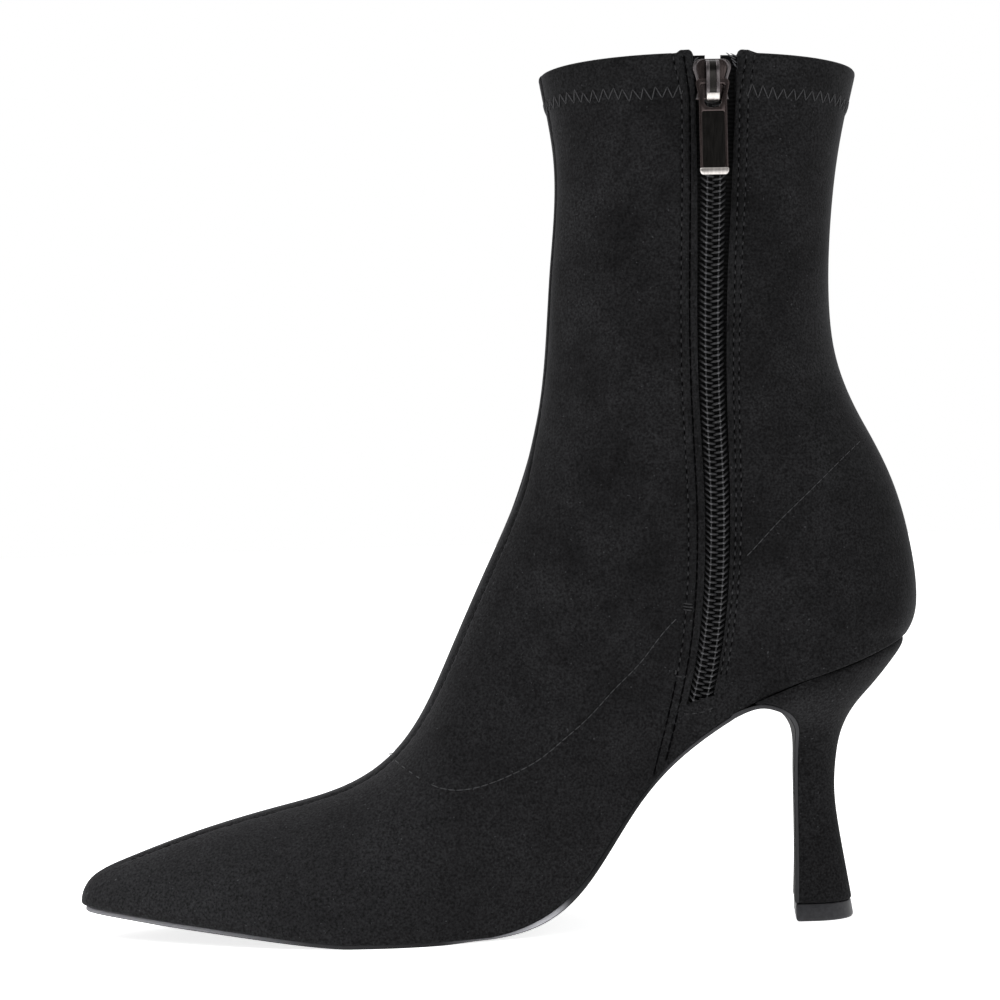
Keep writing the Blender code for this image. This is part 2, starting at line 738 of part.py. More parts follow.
def make_heel_tip():
    sections = []
    for front, back, half, z in in_metres(TIP_SECTIONS):
        sections.append(d_section((front, z), (back, z), half))
    return new_object("heel_tip", loft("heel_tip", sections), COLLECTION, "heel_tip")


def make_finishes():
    for name, (colour, roughness, metallic) in FINISHES.items():
        material = bpy.data.materials.new(name)
        material.use_nodes = True
        shader = material.node_tree.nodes["Principled BSDF"]
        shader.inputs["Base Color"].default_value = (*colour, 1)
        shader.inputs["Roughness"].default_value = roughness
        shader.inputs["Metallic"].default_value = metallic


def stand_on_origin(parts):
    """Hangs every part on one empty that puts the middle of their footprint at the origin."""
    bpy.context.view_layer.update()
    graph = bpy.context.evaluated_depsgraph_get()
    corners = []
    for part in parts:
        evaluated = part.evaluated_get(graph)
        corners += [evaluated.matrix_world @ Vector(corner) for corner in evaluated.bound_box]
    low = np.min(corners, axis=0)
    high = np.max(corners, axis=0)
    stand = bpy.data.objects.new("boot_stand", None)
    bpy.data.collections[COLLECTION].objects.link(stand)
    for name in (COLLECTION, CUTTERS):
        for part in bpy.data.collections[name].objects:
            if part is not stand:
                part.parent = stand
    stand.location = (-(low[0] + high[0]) / 2, -(low[1] + high[1]) / 2, 0)


def shade(parts):
    for part in parts:
        part.data.shade_smooth()
        part.data.set_sharp_from_angle(angle=SHARP_EDGE)


def main():
    for old in list(bpy.data.objects):
        bpy.data.objects.remove(old, do_unlink=True)
    for name in (COLLECTION, CUTTERS):
        bpy.context.scene.collection.children.link(bpy.data.collections.new(name))
    make_finishes()
    make_upper()
    make_insole()
    make_outsole()
    make_heel()
    make_heel_tip()
    make_zip()
    frame = slider_frame()
    make_slider(frame)
    make_pull_tab(frame)
    parts = [part for part in bpy.data.collections[COLLECTION].objects if part.type == "MESH"]
    shade(parts)
    stand_on_origin(parts)


main()
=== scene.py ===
"""Looks of a right ankle boot in black stretch suede, with a pointed toe, a waisted heel and an inside zip.

The tables are in millimetres, with x from the toe tip, y from the centre plane and z from the floor.
STAND carries them into the frame, whose origin is under the middle of the boot.
"""

import math

import bpy
import numpy as np
from mathutils import Matrix, Vector


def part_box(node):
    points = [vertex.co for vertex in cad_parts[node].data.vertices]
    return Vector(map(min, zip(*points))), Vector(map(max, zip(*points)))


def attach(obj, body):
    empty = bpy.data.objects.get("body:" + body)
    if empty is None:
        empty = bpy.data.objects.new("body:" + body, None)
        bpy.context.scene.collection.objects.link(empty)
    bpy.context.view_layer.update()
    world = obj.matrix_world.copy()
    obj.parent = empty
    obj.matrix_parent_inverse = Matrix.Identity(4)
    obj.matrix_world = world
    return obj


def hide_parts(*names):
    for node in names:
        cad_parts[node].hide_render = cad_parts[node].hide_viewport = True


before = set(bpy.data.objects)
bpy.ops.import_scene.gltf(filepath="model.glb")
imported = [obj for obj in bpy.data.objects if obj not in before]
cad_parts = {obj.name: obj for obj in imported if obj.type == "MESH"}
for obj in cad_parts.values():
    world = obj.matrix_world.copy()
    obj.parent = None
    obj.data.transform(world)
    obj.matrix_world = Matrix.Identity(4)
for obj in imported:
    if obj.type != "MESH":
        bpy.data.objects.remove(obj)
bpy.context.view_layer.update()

MM = 0.001
INNER, OUTER = -1, 1
TIP_BACK = 226.6 * MM
tip_low, tip_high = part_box("heel_tip")
STAND = np.array((tip_high[0] - TIP_BACK, (tip_low[1] + tip_high[1]) / 2, 0.0))

# Sizes of the boot
GAP = 0.3 * MM
WALL = 1.8 * MM
SOLE_THICKNESS = 1.5 * MM
BREAST_THICKNESS = 0.6 * MM
TREAD_LEVEL = GAP + SOLE_THICKNESS
HEEL_ROUND = 30 * MM
ANKLE_LOW = 62 * MM
ANKLE_HIGH = 128 * MM
COLLAR_RISE = 1.4 * MM
COLLAR_CROWN_STARTS = 0.9
ARCH_POWER = 1.9
SHAFT_POWER = 2.1
FULLNESS_SHARE = 0.05
MOST_FULLNESS = 1.8 * MM
# Brings the swell to one at its fullest, a third of the way up
SWELL_PEAK = 27 / 4
LEAST_HEIGHT = 0.1 * MM
SLOPE_STEP = 0.5 * MM
MERGE_WITHIN = 0.01 * MM

# The centre line of the upper from the toe over the vamp and up the front of the shaft
FRONT_LINE = (
    # x, z
    (0.0, 9.9),
    (0.2, 12.3),
    (1.3, 15.0),
    (3.0, 17.2),
    (5.8, 19.2),
    (14.5, 22.8),
    (32.0, 29.0),
    (59.0, 36.3),
    (81.0, 43.0),
    (90.6, 49.2),
    (99.9, 60.0),
    (109.1, 77.4),
    (123.0, 106.8),
    (132.4, 127.5),
    (139.5, 153.8),
    (143.4, 192.0),
    (145.3, 226.0),
    (143.7, 239.0),
    (142.0, 248.8),
)

# The centre line up the back, from the heel seat to the collar
BACK_LINE = (
    # x, z
    (243.8, 82.2),
    (245.4, 84.6),
    (246.7, 87.6),
    (247.6, 94.4),
    (246.6, 107.1),
    (242.4, 124.9),
    (235.2, 141.5),
    (228.9, 154.5),
    (225.3, 170.0),
    (224.8, 188.0),
    (227.6, 217.0),
    (230.4, 232.5),
    (233.8, 247.2),
)

# The edge where upper and sole meet, with the half-widths of the last on the inner and outer side, and the
# thickness of the sole below it
FEATHER_LINE = (
    # x, z, inner, outer, thickness
    (0.0, 9.9, 0.0, 0.0, 1.3),
    (2.0, 9.6, 4.8, 4.8, 1.3),
    (6.0, 9.1, 7.8, 8.0, 1.3),
    (14.0, 8.2, 12.0, 12.5, 1.3),
    (28.0, 6.8, 18.5, 19.5, 1.4),
    (45.0, 5.2, 25.6, 27.6, 1.5),
    (62.0, 3.4, 31.4, 34.5, 1.5),
    (78.0, 1.9, 34.4, 38.5, 1.5),
    (94.0, 1.5, 34.8, 40.0, 1.5),
    (107.0, 1.7, 32.5, 39.4, 1.5),
    (120.0, 1.8, 28.2, 37.0, 1.0),
    (133.0, 5.0, 24.3, 33.6, 1.7),
    (146.5, 14.9, 21.6, 30.0, 1.6),
    (162.4, 37.1, 20.6, 27.2, 1.2),
    (181.0, 55.1, 21.8, 25.8, 0.95),
    (195.5, 64.2, 23.6, 25.6, 0.9),
    (210.0, 70.4, 25.0, 25.6, 0.6),
    (227.0, 75.8, 25.3, 25.5, 0.6),
    (243.8, 82.2, 25.2, 25.4, 0.6),
)

# The shaft's half-width at each height
SHAFT_WIDTH = (
    # z, half
    (60.0, 29.0),
    (90.0, 29.2),
    (120.0, 29.8),
    (145.0, 29.2),
    (185.0, 27.0),
    (215.0, 27.6),
    (238.0, 29.4),
    (252.0, 30.6),
)

# Rings round the upper: shares of the front and the back line, and how far a ring follows the feather line
RINGS = (
    # front, back, sag
    (0.00, 0.00, 1.00),
    (0.19, 0.06, 0.96),
    (0.35, 0.13, 0.85),
    (0.44, 0.21, 0.60),
    (0.57, 0.33, 0.30),
    (0.70, 0.51, 0.10),
    (0.82, 0.70, 0.00),
    (0.93, 0.89, 0.00),
    (1.00, 1.00, 0.00),
)
EDGE_RUNS = (0.0, 0.5, 1.1, 1.9, 2.9, 4.2, 5.8)
RING_ROWS = 256
RING_SAMPLES = 2000
TURN_SAMPLES = 1441
REAR_COLUMNS, OUTER_COLUMNS, FRONT_COLUMNS = 60, 150, 112
END_CROWDING = 0.65

# The zip's middle from above the collar down to its closed end, and on along the seam to the sole
ZIP_LINE = (
    # x, z
    (190.3, 258.0),
    (189.6, 215.0),
    (188.3, 185.7),
    (187.4, 151.0),
    (187.7, 125.0),
    (187.3, 106.0),
    (185.8, 88.0),
    (183.4, 73.5),
    (181.6, 65.6),
    (179.3, 56.5),
    (176.8, 47.5),
    (174.1, 38.0),
)
# Where the suede folds in before and behind that line, at distances along it
SLOT_EDGES = (
    # distance, front, rear
    (0.0, 6.1, 7.0),
    (16.0, 6.0, 6.7),
    (40.0, 5.4, 5.9),
    (70.0, 4.85, 5.0),
    (105.0, 4.55, 4.55),
    (140.0, 4.15, 4.15),
    (180.0, 3.8, 3.8),
    (200.0, 3.75, 3.75),
)
SLOT_SEEN = (0.25 * math.pi, 0.97 * math.pi)
SLOT_END = 192.6 * MM
SLOT_END_SLOPE = 0.62
# A fold of the facing runs across below the end
END_FOLD = (
    # distance, offset
    (196.3, -4.4),
    (192.7, 4.4),
)
END_FOLD_RISE = 0.45 * MM
END_FOLD_HALF = 1.7 * MM
FOLD_OPENS = 1.2 * MM
SLIDER_AT = 16.4 * MM
SLIDER_ASIDE = -0.75 * MM
COIL_ENDS = (22.6 * MM, 200 * MM)

# Folded edges
RIM_RADIUS = 1.1 * MM
FOLD_RADIUS = 0.55 * MM
FOLD_STEPS = 6
HEM_INSIDE = 12 * MM
HEM_STEPS = (0.2, 0.4, 0.6, 0.8, 1.0)
FACING_INSIDE = 5 * MM
FACING_STEPS = (0.3, 0.6, 1.0)
# The row near the collar on which the facings' depth is counted off
FACING_ROW = -40
# The lower edge tucked under: reach past the edge, and depth
EDGE_TUCK = ((1.0, 0.9), (0.0, 0.45))
# How far the lower edge is rolled in, and how far it laps over the sole
EDGE_ROLL = (
    # x, roll
    (0.0, 1.2),
    (20.0, 0.8),
    (60.0, 0.6),
    (160.0, 0.35),
    (205.0, 0.35),
    (228.0, 0.8),
)
EDGE_LAP = (
    # x, lap
    (0.0, 0.25),
    (20.0, 0.45),
    (50.0, 0.85),
    (112.0, 0.9),
    (124.0, 0.8),
    (140.0, 0.65),
    (165.0, 0.4),
    (190.0, 0.12),
)
LAP_FADES = 7 * MM
RIM_DROP = 1.3 * MM
RIM_DROP_STARTS = 0.85

# Relief of the suede, as heights and half-widths
UNDULATION = 0.14 * MM
# Slow waves of the cloth, each the product of two
WAVES = (
    # share, then twice: millimetres to a radian along x, y and z, 0 for none, and the phase
    (1.0, (17, 0, 29, 0.0), (0, -19, 23, 1.3)),
    (0.6, (9, 11, -13, 0.4), (0, 0, 15, 2.1)),
)
SEAM_RISE = 0.3 * MM
SEAM_ROW = 4.1 * MM
SEAM_FALLS = 0.6 * SEAM_ROW
SEAM_NEAREST = 1.5 * MM
SEAM_GROOVE = 0.4 * MM
SEAM_GROOVE_HALF = 0.55 * MM
SEAM_STARTS = (3 * MM, 22 * MM)
# How far inside the outline the groove shows from the side, along the front line
SEAM_BEHIND = (
    # distance, inside
    (80.0, 0.5),
    (110.0, 0.9),
    (140.0, 1.5),
    (170.0, 1.6),
    (192.0, 1.1),
    (206.0, 0.6),
    (220.0, 0.3),
)
SEAM_SPAN = 0.8
ROW_GROOVE = 0.5 * MM
GROOVE_HALF = 0.8 * MM
FACING_RISE = 0.35 * MM
FACING_STANDS = 0.8 * MM
FACING_WIDTH = 4.2 * MM
FACING_FALLS = (0.5 * FACING_WIDTH, 1.1 * FACING_WIDTH)
FACING_STANDS_TO = (0.75 * FACING_WIDTH, 1.1 * FACING_WIDTH)
FACING_STANDS_FROM = 0.97
FACING_CORNER = 1.3 * MM
HEM_RISE = 0.3 * MM
HEM_STARTS = 2.4 * MM
HEM_HEIGHT = (7.3 * MM, 11.3 * MM)
# The hem is narrower where the collar dips at the front
HEM_NARROWS = (
    # x, less
    (142.0, 1.8),
    (152.0, 1.0),
    (166.0, 0.0),
)
LINING_GROOVE = 0.16 * MM

# Soft creases of the empty shaft, the ankle and the arch
CREASES = (
    # x, z, half length, half width, lean in degrees, depth, side
    (212.0, 150.0, 20.0, 6.5, 58.0, 0.42, INNER),
    (204.0, 176.0, 15.0, 6.0, 78.0, 0.28, INNER),
    (151.0, 184.0, 22.0, 6.0, 82.0, 0.28, INNER),
    (140.0, 128.0, 16.0, 7.5, 35.0, 0.36, INNER),
    (153.0, 46.0, 24.0, 10.0, 54.0, 0.8, INNER),
    (112.0, 30.0, 20.0, 6.5, 22.0, 0.26, INNER),
    (206.0, 144.0, 20.0, 7.0, 50.0, 0.4, OUTER),
    (158.0, 176.0, 24.0, 6.5, 76.0, 0.28, OUTER),
    (144.0, 120.0, 18.0, 7.5, 30.0, 0.38, OUTER),
    (150.0, 58.0, 18.0, 8.0, 46.0, 0.4, OUTER),
)
RIDGE_AT = 1.7
RIDGE_SHARE = 0.45

# Stitch rows beside the zip: offsets from its middle at four places along it, and their far ends
ROW_PLACES = (10 * MM, 21 * MM, 105 * MM, 180 * MM)
ZIP_ROWS = (
    # at collar, below collar, middle, low, end of the row along the zip
    (-8.4, -6.9, -6.1, -5.4, 230.0),
    (-11.4, -9.1, -8.6, -7.8, 230.0),
    (9.2, 7.3, 5.9, 4.3, 190.5),
    (11.7, 9.8, 7.4, 5.8, 190.5),
)
BARE_ROW = 0
ROW_STARTS = 9.5 * MM
ROW_CLEARS = 0.8 * MM
ROW_PITCH = 2.75 * MM
ROWS_DARKEN = 187 * MM
BEAD_SPAN = (0.06, 0.5)
HOLE_SPAN = (0.54, 0.97)
LONG_HOLE_SPAN = (0.0, 1.0)
BEAD_THICKNESS = 0.52 * MM
HOLE_THICKNESS = 0.48 * MM
LONG_HOLE_THICKNESS = 0.66 * MM
BEAD_LIFT = 0.04 * MM
HOLE_LIFT = -0.05 * MM
END_LIFT = 0.05 * MM
SEAM_COLUMNS = 30
SEAM_STOPS = 3 * MM
SEAM_THREAD = 0.4 * MM

# The zigzag below the rim: its pitch, thread, the shares of its turns, and its unevenness along and across
HEM_PITCH = 1.62 * MM
HEM_THREAD = 0.36 * MM
HEM_LIFT = 0.1 * MM
HEM_TURNS = (0.06, 0.94)
HEM_SWAY, HEM_SWAY_RATE = 0.25 * MM, 2.7
HEM_REACH, HEM_REACH_RATE = 0.06, 1.9

# Stitches at the zip's closed end, its bar tack and the cross stitch below it
END_STITCHES = (
    # from distance and offset, to distance and offset
    (197.2, -3.6, 196.9, -2.2),
    (196.6, -1.5, 196.2, -0.1),
    (195.9, 0.6, 195.3, 2.0),
    (194.7, 2.8, 193.7, 4.0),
    (165.0, -8.9, 165.1, -6.2),
    (165.9, -9.0, 166.0, -6.0),
    (166.8, -8.8, 166.9, -6.3),
    (185.2, -8.4, 186.6, -8.3),
    (187.0, -8.2, 186.8, -5.4),
)
FRAYED_YARN = (
    # from distance and offset, to distance and offset
    (11.6, -6.0, 10.6, -4.6),
    (12.2, -6.2, 11.4, -4.9),
    (11.0, -5.6, 10.2, -4.2),
    (12.8, -5.9, 11.2, -5.0),
    (9.6, 4.2, 10.8, 6.4),
    (9.2, 4.8, 10.2, 7.0),
    (10.6, 5.0, 12.0, 6.8),
    (11.4, 5.4, 13.0, 6.6),
    (9.0, 3.6, 10.0, 5.0),
    (12.2, 5.8, 13.4, 7.0),
)
YARN_DEPTH = 0.5 * MM
YARN_THICKNESS = 0.3 * MM

# The lining's seam seen through the suede, from the throat along the vamp and up past the zip to the back
LINING_LINE = (
    # x, z
    (91.6, 51.2),
    (98.9, 47.4),
    (105.9, 44.1),
    (113.2, 43.1),
    (120.4, 44.3),
    (127.8, 46.9),
    (135.3, 50.6),
    (142.6, 56.1),
    (150.2, 62.4),
    (157.5, 69.9),
    (165.1, 77.3),
    (171.0, 84.8),
    (179.4, 93.1),
    (188.0, 100.4),
    (196.0, 107.2),
    (204.0, 115.4),
    (213.0, 123.6),
    (223.4, 132.8),
    (232.5, 139.9),
    (237.2, 143.0),
)
LINING_SEAM_BREAK = (177.2 * MM, 195.6 * MM)
LINING_CLEARS = 2.5 * MM
LINING_DOTS_END = 104.5 * MM
LINING_SPAN = (0.0, 0.92)
DOT_SPAN = (0.0, 0.5)
LINING_PITCH = 2.4 * MM
LINING_THREAD = 0.28 * MM
LINING_LIFT = 0.03 * MM

# Heel block from the seat down to the tip: each section runs from a point on the breast to one on the back
HEEL_SECTIONS = (
    # breast_x, breast_z, back_x, back_z, half
    (197.4, 64.1, 243.5, 81.9, 25.0),
    (199.8, 64.3, 243.3, 80.3, 25.1),
    (203.4, 63.5, 241.5, 77.2, 24.3),
    (207.0, 61.7, 237.9, 72.6, 21.8),
    (209.8, 59.3, 233.5, 67.5, 18.4),
    (211.7, 56.6, 229.2, 62.7, 15.0),
    (212.4, 52.6, 225.3, 56.2, 11.5),
    (212.1, 45.6, 222.9, 46.8, 8.9),
    (211.8, 36.6, 222.2, 36.6, 7.5),
    (211.7, 28.0, 222.9, 28.0, 7.4),
    (211.6, 17.0, 224.5, 17.0, 8.4),
    (211.3, 5.2, 226.3, 5.2, 10.2),
)
HEEL_ROWS = 120
HEEL_EDGE_RUNS = (0.0, 0.25, 0.6, 1.1, 1.8, 2.7)
HEEL_ROLL = (2.9 * MM, 1.6 * MM)
HEEL_ROLL_DEPTH = (0.55 * MM, 0.6 * MM)
SEAT_GROOVE_STARTS = (210 * MM, 236 * MM)
# The heel's front is turned a little, by this slope, up to where the breast curves into the seat
HEEL_TURN = 0.085
HEEL_TURN_FADES = (50 * MM, 62 * MM)
HEEL_FLAT_SHARE = 0.3
HEEL_SIDE_POINTS = 26
HEEL_CORNER = 0.06
HEEL_CORNER_POINTS = 5

# The heel tip's sections, from its top to the floor
TIP_SECTIONS = (
    # front_x, back_x, half, z
    (210.8, 225.6, 9.9, 4.95),
    (210.55, 225.95, 10.1, 4.8),
    (210.5, 226.05, 10.2, 4.5),
    (210.5, 226.6, 10.4, 0.9),
    (210.7, 226.5, 10.35, 0.4),
    (211.0, 226.2, 10.0, 0.0),
)

# The sole runs on from the waist over the breast of the heel, down to the tip
BREAST_LINE = (
    # x, z, half
    (195.7, 63.2, 24.0),
    (199.4, 63.9, 24.5),
    (203.2, 63.1, 23.8),
    (206.7, 61.3, 21.2),
    (209.5, 58.8, 17.4),
    (211.4, 55.9, 14.0),
    (212.0, 52.0, 10.8),
    (211.7, 45.4, 8.4),
    (211.4, 36.6, 7.1),
    (211.3, 28.0, 7.0),
    (211.2, 17.0, 8.0),
    (210.9, 5.5, 9.7),
)
WAIST_END = 190.0 * MM
SOLE_TOE = 1.5 * MM
SOLE_TOE_FADES = 30 * MM
# The sole's edge stands back under the suede of the forefoot
SOLE_INSET = (
    # x, inset
    (140.0, 0.6),
    (170.0, 0.3),
    (190.0, 0.1),
)
SOLE_STATIONS = 150
BREAST_STATIONS = 60
BREAST_CLOSES = 0.5 * MM
SOLE_EDGE_PROUD = 0.22
SOLE_EDGE_POINTS = 9
# The paint covers these points of the edge from its top, and the foot of the edge stays black
EDGE_PAINTED = 7
SOLE_COLUMNS = 13
EDGE_PAINT = 0.05 * MM
EDGE_PAINT_ENDS = 250 * MM
# Tone of the sole's edge along the boot: black edge paint, with painted highlights where it is pale at the
# toe, behind the ball and through the waist, standing for the floor's reflection
EDGE_PAINT_AND_HIGHLIGHTS = (
    # x, shade
    (0.0, 0.18),
    (14.0, 0.17),
    (32.0, 0.15),
    (50.0, 0.11),
    (70.0, 0.03),
    (106.0, 0.015),
    (113.0, 0.08),
    (120.0, 0.15),
    (127.0, 0.26),
    (134.0, 0.45),
    (139.0, 0.38),
    (143.0, 0.03),
    (150.0, 0.012),
    (166.0, 0.014),
    (176.0, 0.06),
    (196.0, 0.04),
)
INSOLE_THICKNESS = 2.2 * MM
INSOLE_CLEARANCE = 0.9 * MM
INSOLE_ENDS = (9 * MM, 239 * MM)
INSOLE_STATIONS = 120
INSOLE_COLUMNS = 41
INSOLE_EDGE_POWER = 14
LINING_DEPTH = 1.55 * MM
LINING_STOPS, LINING_STRIDE = 10, 3

# One tooth of the coil, from the tape's edge over to the other half
TOOTH_LINE = (
    # across, out of the boot, up along the zip
    (3.6, -0.8, 1.25),
    (3.2, -0.25, 0.95),
    (2.5, 0.1, 0.42),
    (1.75, 0.22, 0.0),
    (1.0, 0.02, -0.12),
    (0.3, -0.25, -0.2),
    (-0.4, -0.7, -0.3),
)
TOOTH_PITCH = 1.72 * MM
TOOTH_RADIUS = 0.36
TOOTH_END_POWER = 6
TOOTH_RINGS = 14
TOOTH_SIDES = 8
TOOTH_DEPTH = 0.95 * MM
# The sewing over each tooth: a knot along the tooth, and an upright thread on to the next
KNOT = (1.35, 0.12, 2.3, -0.08)
UPRIGHT = (1.8, 0.0, 1.8, 1.72)
SEWING_DEPTH = 0.4 * MM
KNOT_THICKNESS = 0.56 * MM
UPRIGHT_THICKNESS = 0.38 * MM

# Slider and pull tab, in the slider's own frame: X across the zip, -Y out of the boot, Z up along the zip
PLATE_OUTLINE = (
    # x, z
    (2.4, 5.6),
    (4.4, 5.1),
    (5.4, 3.6),
    (5.1, 2.0),
    (4.2, -1.6),
    (4.3, -4.4),
    (4.7, -5.8),
)
PLATE_OUT = (0.35 * MM, 1.45 * MM)
UNDER_PLATE_OUT = (-5.3 * MM, -4.2 * MM)
UNDER_PLATE_SCALE = (0.8, 0.85)
NECK_HALF = 1.5 * MM
NECK_CORNER = NECK_HALF / 3
NECK_ENDS = (-0.8 * MM, 4.8 * MM)
NECK_OUT = (-5.0 * MM, 1.0 * MM)
WING_OUT = (1.2 * MM, 2.05 * MM)
WING_INSIDE = (0.8, 0.95)
BRIDGE_LINE = (
    # out, z
    (1.0, 4.8),
    (2.9, 4.6),
    (4.0, 3.7),
    (4.3, 1.0),
    (4.2, -2.5),
    (3.8, -4.4),
    (2.6, -5.0),
    (1.0, -5.0),
)
BRIDGE_HALF = 1.9 * MM
BRIDGE_THICKNESS = 0.85 * MM
RIDGE_HALF = 0.5 * MM
RIDGE_LIFT = 0.4 * MM
CAP_LINE = (
    # out, z
    (4.7, -4.1),
    (4.55, -5.1),
    (3.7, -5.9),
    (2.4, -6.1),
)
CAP_HALF = 1.8 * MM
CAP_BEVEL = 0.4 * MM
PIVOT = Vector((0, -2.75, -0.8)) * MM
TAB_THICKNESS = 1.4 * MM
TAB_SIDE = (
    # x, z
    (0.0, 0.7),
    (3.9, 0.7),
    (4.6, 0.2),
    (4.75, -0.7),
    (4.4, -2.4),
    (4.05, -3.9),
    (3.95, -5.0),
    (3.95, -25.6),
    (3.3, -26.3),
    (0.0, -26.3),
)
WINDOW_SIDE = (
    # x, z
    (0.0, -0.75),
    (3.1, -0.75),
    (3.5, -1.2),
    (3.3, -2.4),
    (2.75, -3.8),
    (2.55, -5.0),
    (2.4, -6.2),
    (1.7, -7.2),
    (0.0, -7.5),
)
PANEL_HALF = 3.15 * MM
PANEL_ENDS = (-24.2 * MM, -8.4 * MM)
PANEL_CORNER = 0.5 * MM
PANEL_DEPTH = 0.4 * MM
PANEL_THICKNESS = 0.14 * MM
LIP_SIDE = (
    # x, z
    (4.1, -24.3),
    (4.1, -25.5),
    (3.4, -26.4),
)
LIP_OUT = (0.3 * MM, 1.3 * MM)
LIP_BEVEL = 0.4 * MM
METAL_BEVEL = 0.22 * MM
METAL_SMOOTH = math.radians(35)

# Painted shade: the patches darken the shaft fully and the vamp only half, so the vamp, which faces up to
# the light, reads lighter
PATCHES_PAINTED_SHADE = {"From Min": 30 * MM, "From Max": 95 * MM, "To Min": 0.5, "To Max": 1.0}

# Camera: it stands level with the middle of the boot on the inner side, rolled a little
CAMERA_PLACE = Vector(STAND + np.array((126.404, -719.955, 124.75)) * MM)
CAMERA_ROLL = math.radians(-1.67)
CAMERA_LENS = 88.13
CAMERA_SENSOR = 36

# Threads and metals
THREADS = {
    # dark, light, roughness, gloss
    "row_thread": (0.012, 0.034, 0.7, 0.2),
    # Black without gloss or sheen: painted shade for the needle holes and the sunk stitches
    "painted_hole_shade": (0.001, 0.004, 1.0, 0.0),
    "frayed_yarn": (0.06, 0.16, 0.8, 0.35),
    "hem_thread": (0.02, 0.046, 0.7, 0.35),
    "coil_nylon": (0.014, 0.034, 0.5, 0.3),
    # The knots of sewing thread over the teeth are painted lighter than the nylon, as highlights on the coil
    "coil_thread_highlight": (0.055, 0.115, 0.6, 0.35),
}
# One gunmetal plating in four brightnesses: the rims and ridges, the cap and the lip are painted lighter as
# highlights, and the bridge and the tab's panel are painted darker as shade and dark reflection
METALS = {
    # dark, light, roughness
    "gunmetal": ((0.09, 0.08, 0.082), (0.17, 0.155, 0.158), 0.28),
    "tab_gunmetal": ((0.06, 0.048, 0.047), (0.11, 0.088, 0.085), 0.22),
    "painted_shade_gunmetal": ((0.02, 0.019, 0.018), (0.038, 0.036, 0.034), 0.24),
    "painted_highlight_metal": ((0.5, 0.47, 0.45), (0.75, 0.71, 0.68), 0.3),
}
LINING_TONES = ((0.02, 0.018, 0.017), (0.05, 0.046, 0.043))

# Light: the tent's shades from behind the camera to behind the boot, and the softboxes
TENT_WAY = (0.24, 1.0, 0.0)
TENT_SHADES = ((0.0, 0.17), (0.15, 0.43), (0.42, 0.8), (0.6, 1.0))
SOFTBOXES = {
    # place, target, size, power, spread in degrees
    "key_softbox": ((-0.55, -0.45, 1.25), (-0.05, 0, 0.05), 0.8, 5, 180),
    "toe_softbox": ((-0.2, -0.08, 0.45), (-0.17, -0.06, 0), 0.2, 0.22, 50),
}
FLOOR_SIZE = 12
FLOOR_GLOW = 0.8


def in_metres(rows):
    return np.array(rows, float) * MM


def spline(knots, values, at):
    """Natural cubic spline through the values at the knots, read at the given places."""
    values = np.asarray(values, float).reshape(len(knots), -1)
    step = np.diff(knots)[:, None]
    slope = np.diff(values, axis=0) / step
    system = np.eye(len(knots))
    bend = np.zeros_like(values)
    for i in range(1, len(knots) - 1):
        before, after = step[i - 1, 0], step[i, 0]
        system[i, i - 1 : i + 2] = before, 2 * (before + after), after
        bend[i] = 6 * (slope[i] - slope[i - 1])
    bend = np.linalg.solve(system, bend)
    at = np.atleast_1d(at)
    cell = np.clip(np.searchsorted(knots, at) - 1, 0, len(step) - 1)
    width = step[cell]
    low = (knots[cell + 1] - at)[:, None]
    high = (at - knots[cell])[:, None]
    cubic = (bend[cell] * low**3 + bend[cell + 1] * high**3) / (6 * width)
    line_low = (values[cell] / width - bend[cell] * width / 6) * low
    line_high = (values[cell + 1] / width - bend[cell + 1] * width / 6) * high
    return cubic + line_low + line_high


def lengths(points):
    return np.concatenate([[0.0], np.cumsum(np.linalg.norm(np.diff(points, axis=0), axis=1))])


def smooth_curve(rows, samples=600):
    """Dense points of the smooth curve through the rows."""
    rows = in_metres(rows)
    knots = lengths(rows)
    return spline(knots, rows, np.linspace(0, knots[-1], samples))


def along_line(line, values, distance):
    """Values given along a dense line, read at these distances from its start."""
    run = lengths(line)
    return np.stack([np.interp(distance, run, column) for column in values.T], axis=-1)


def at_length(points, distance):
    """Points of a dense curve at these distances from its start."""
    return along_line(points, points, distance)


def smoothstep(low, high, value):
    share = np.clip((value - low) / (high - low), 0, 1)
    return share * share * (3 - 2 * share)


def unit(vectors):
    return vectors / np.maximum(np.linalg.norm(vectors, axis=-1, keepdims=True), 1e-12)


def rounded_off(distance, radius):
    """How far a rounded edge has fallen back at this distance from its end, as a share of its radius."""
    left = 1 - np.clip(distance / radius, 0, 1)
    return 1 - np.sqrt(1 - left**2)


FRONT = smooth_curve(FRONT_LINE)
BACK = smooth_curve(BACK_LINE)
ZIP = smooth_curve(ZIP_LINE)
FEATHER = in_metres(FEATHER_LINE)
SHAFT = in_metres(SHAFT_WIDTH)
SLOT = in_metres(SLOT_EDGES)
COLLAR_Z = FRONT[-1, 1] + COLLAR_RISE


def feather_z(x):
    """Height of the feather line, flat where the forefoot stands on the floor."""
    height = spline(FEATHER[:, 0], FEATHER[:, 1], np.ravel(x))[:, 0]
    return np.maximum(height, TREAD_LEVEL).reshape(np.shape(x))


def last_width(x, side):
    """Half-width of the last at the feather line, round at the toe and not yet rounded off at the heel."""
    column = FEATHER[:, 2 if side == INNER else 3]
    reach = np.sqrt(np.maximum(np.ravel(x), 0))
    return spline(np.sqrt(FEATHER[:, 0]), column, reach)[:, 0].reshape(np.shape(x))


def instep_z(x):
    """Height of the front line above x, up to the collar behind the shaft's front."""
    rising = np.maximum.accumulate(FRONT[:, 0])
    return np.where(x >= rising[-1] - GAP, COLLAR_Z, np.interp(x, rising, FRONT[:, 1]))


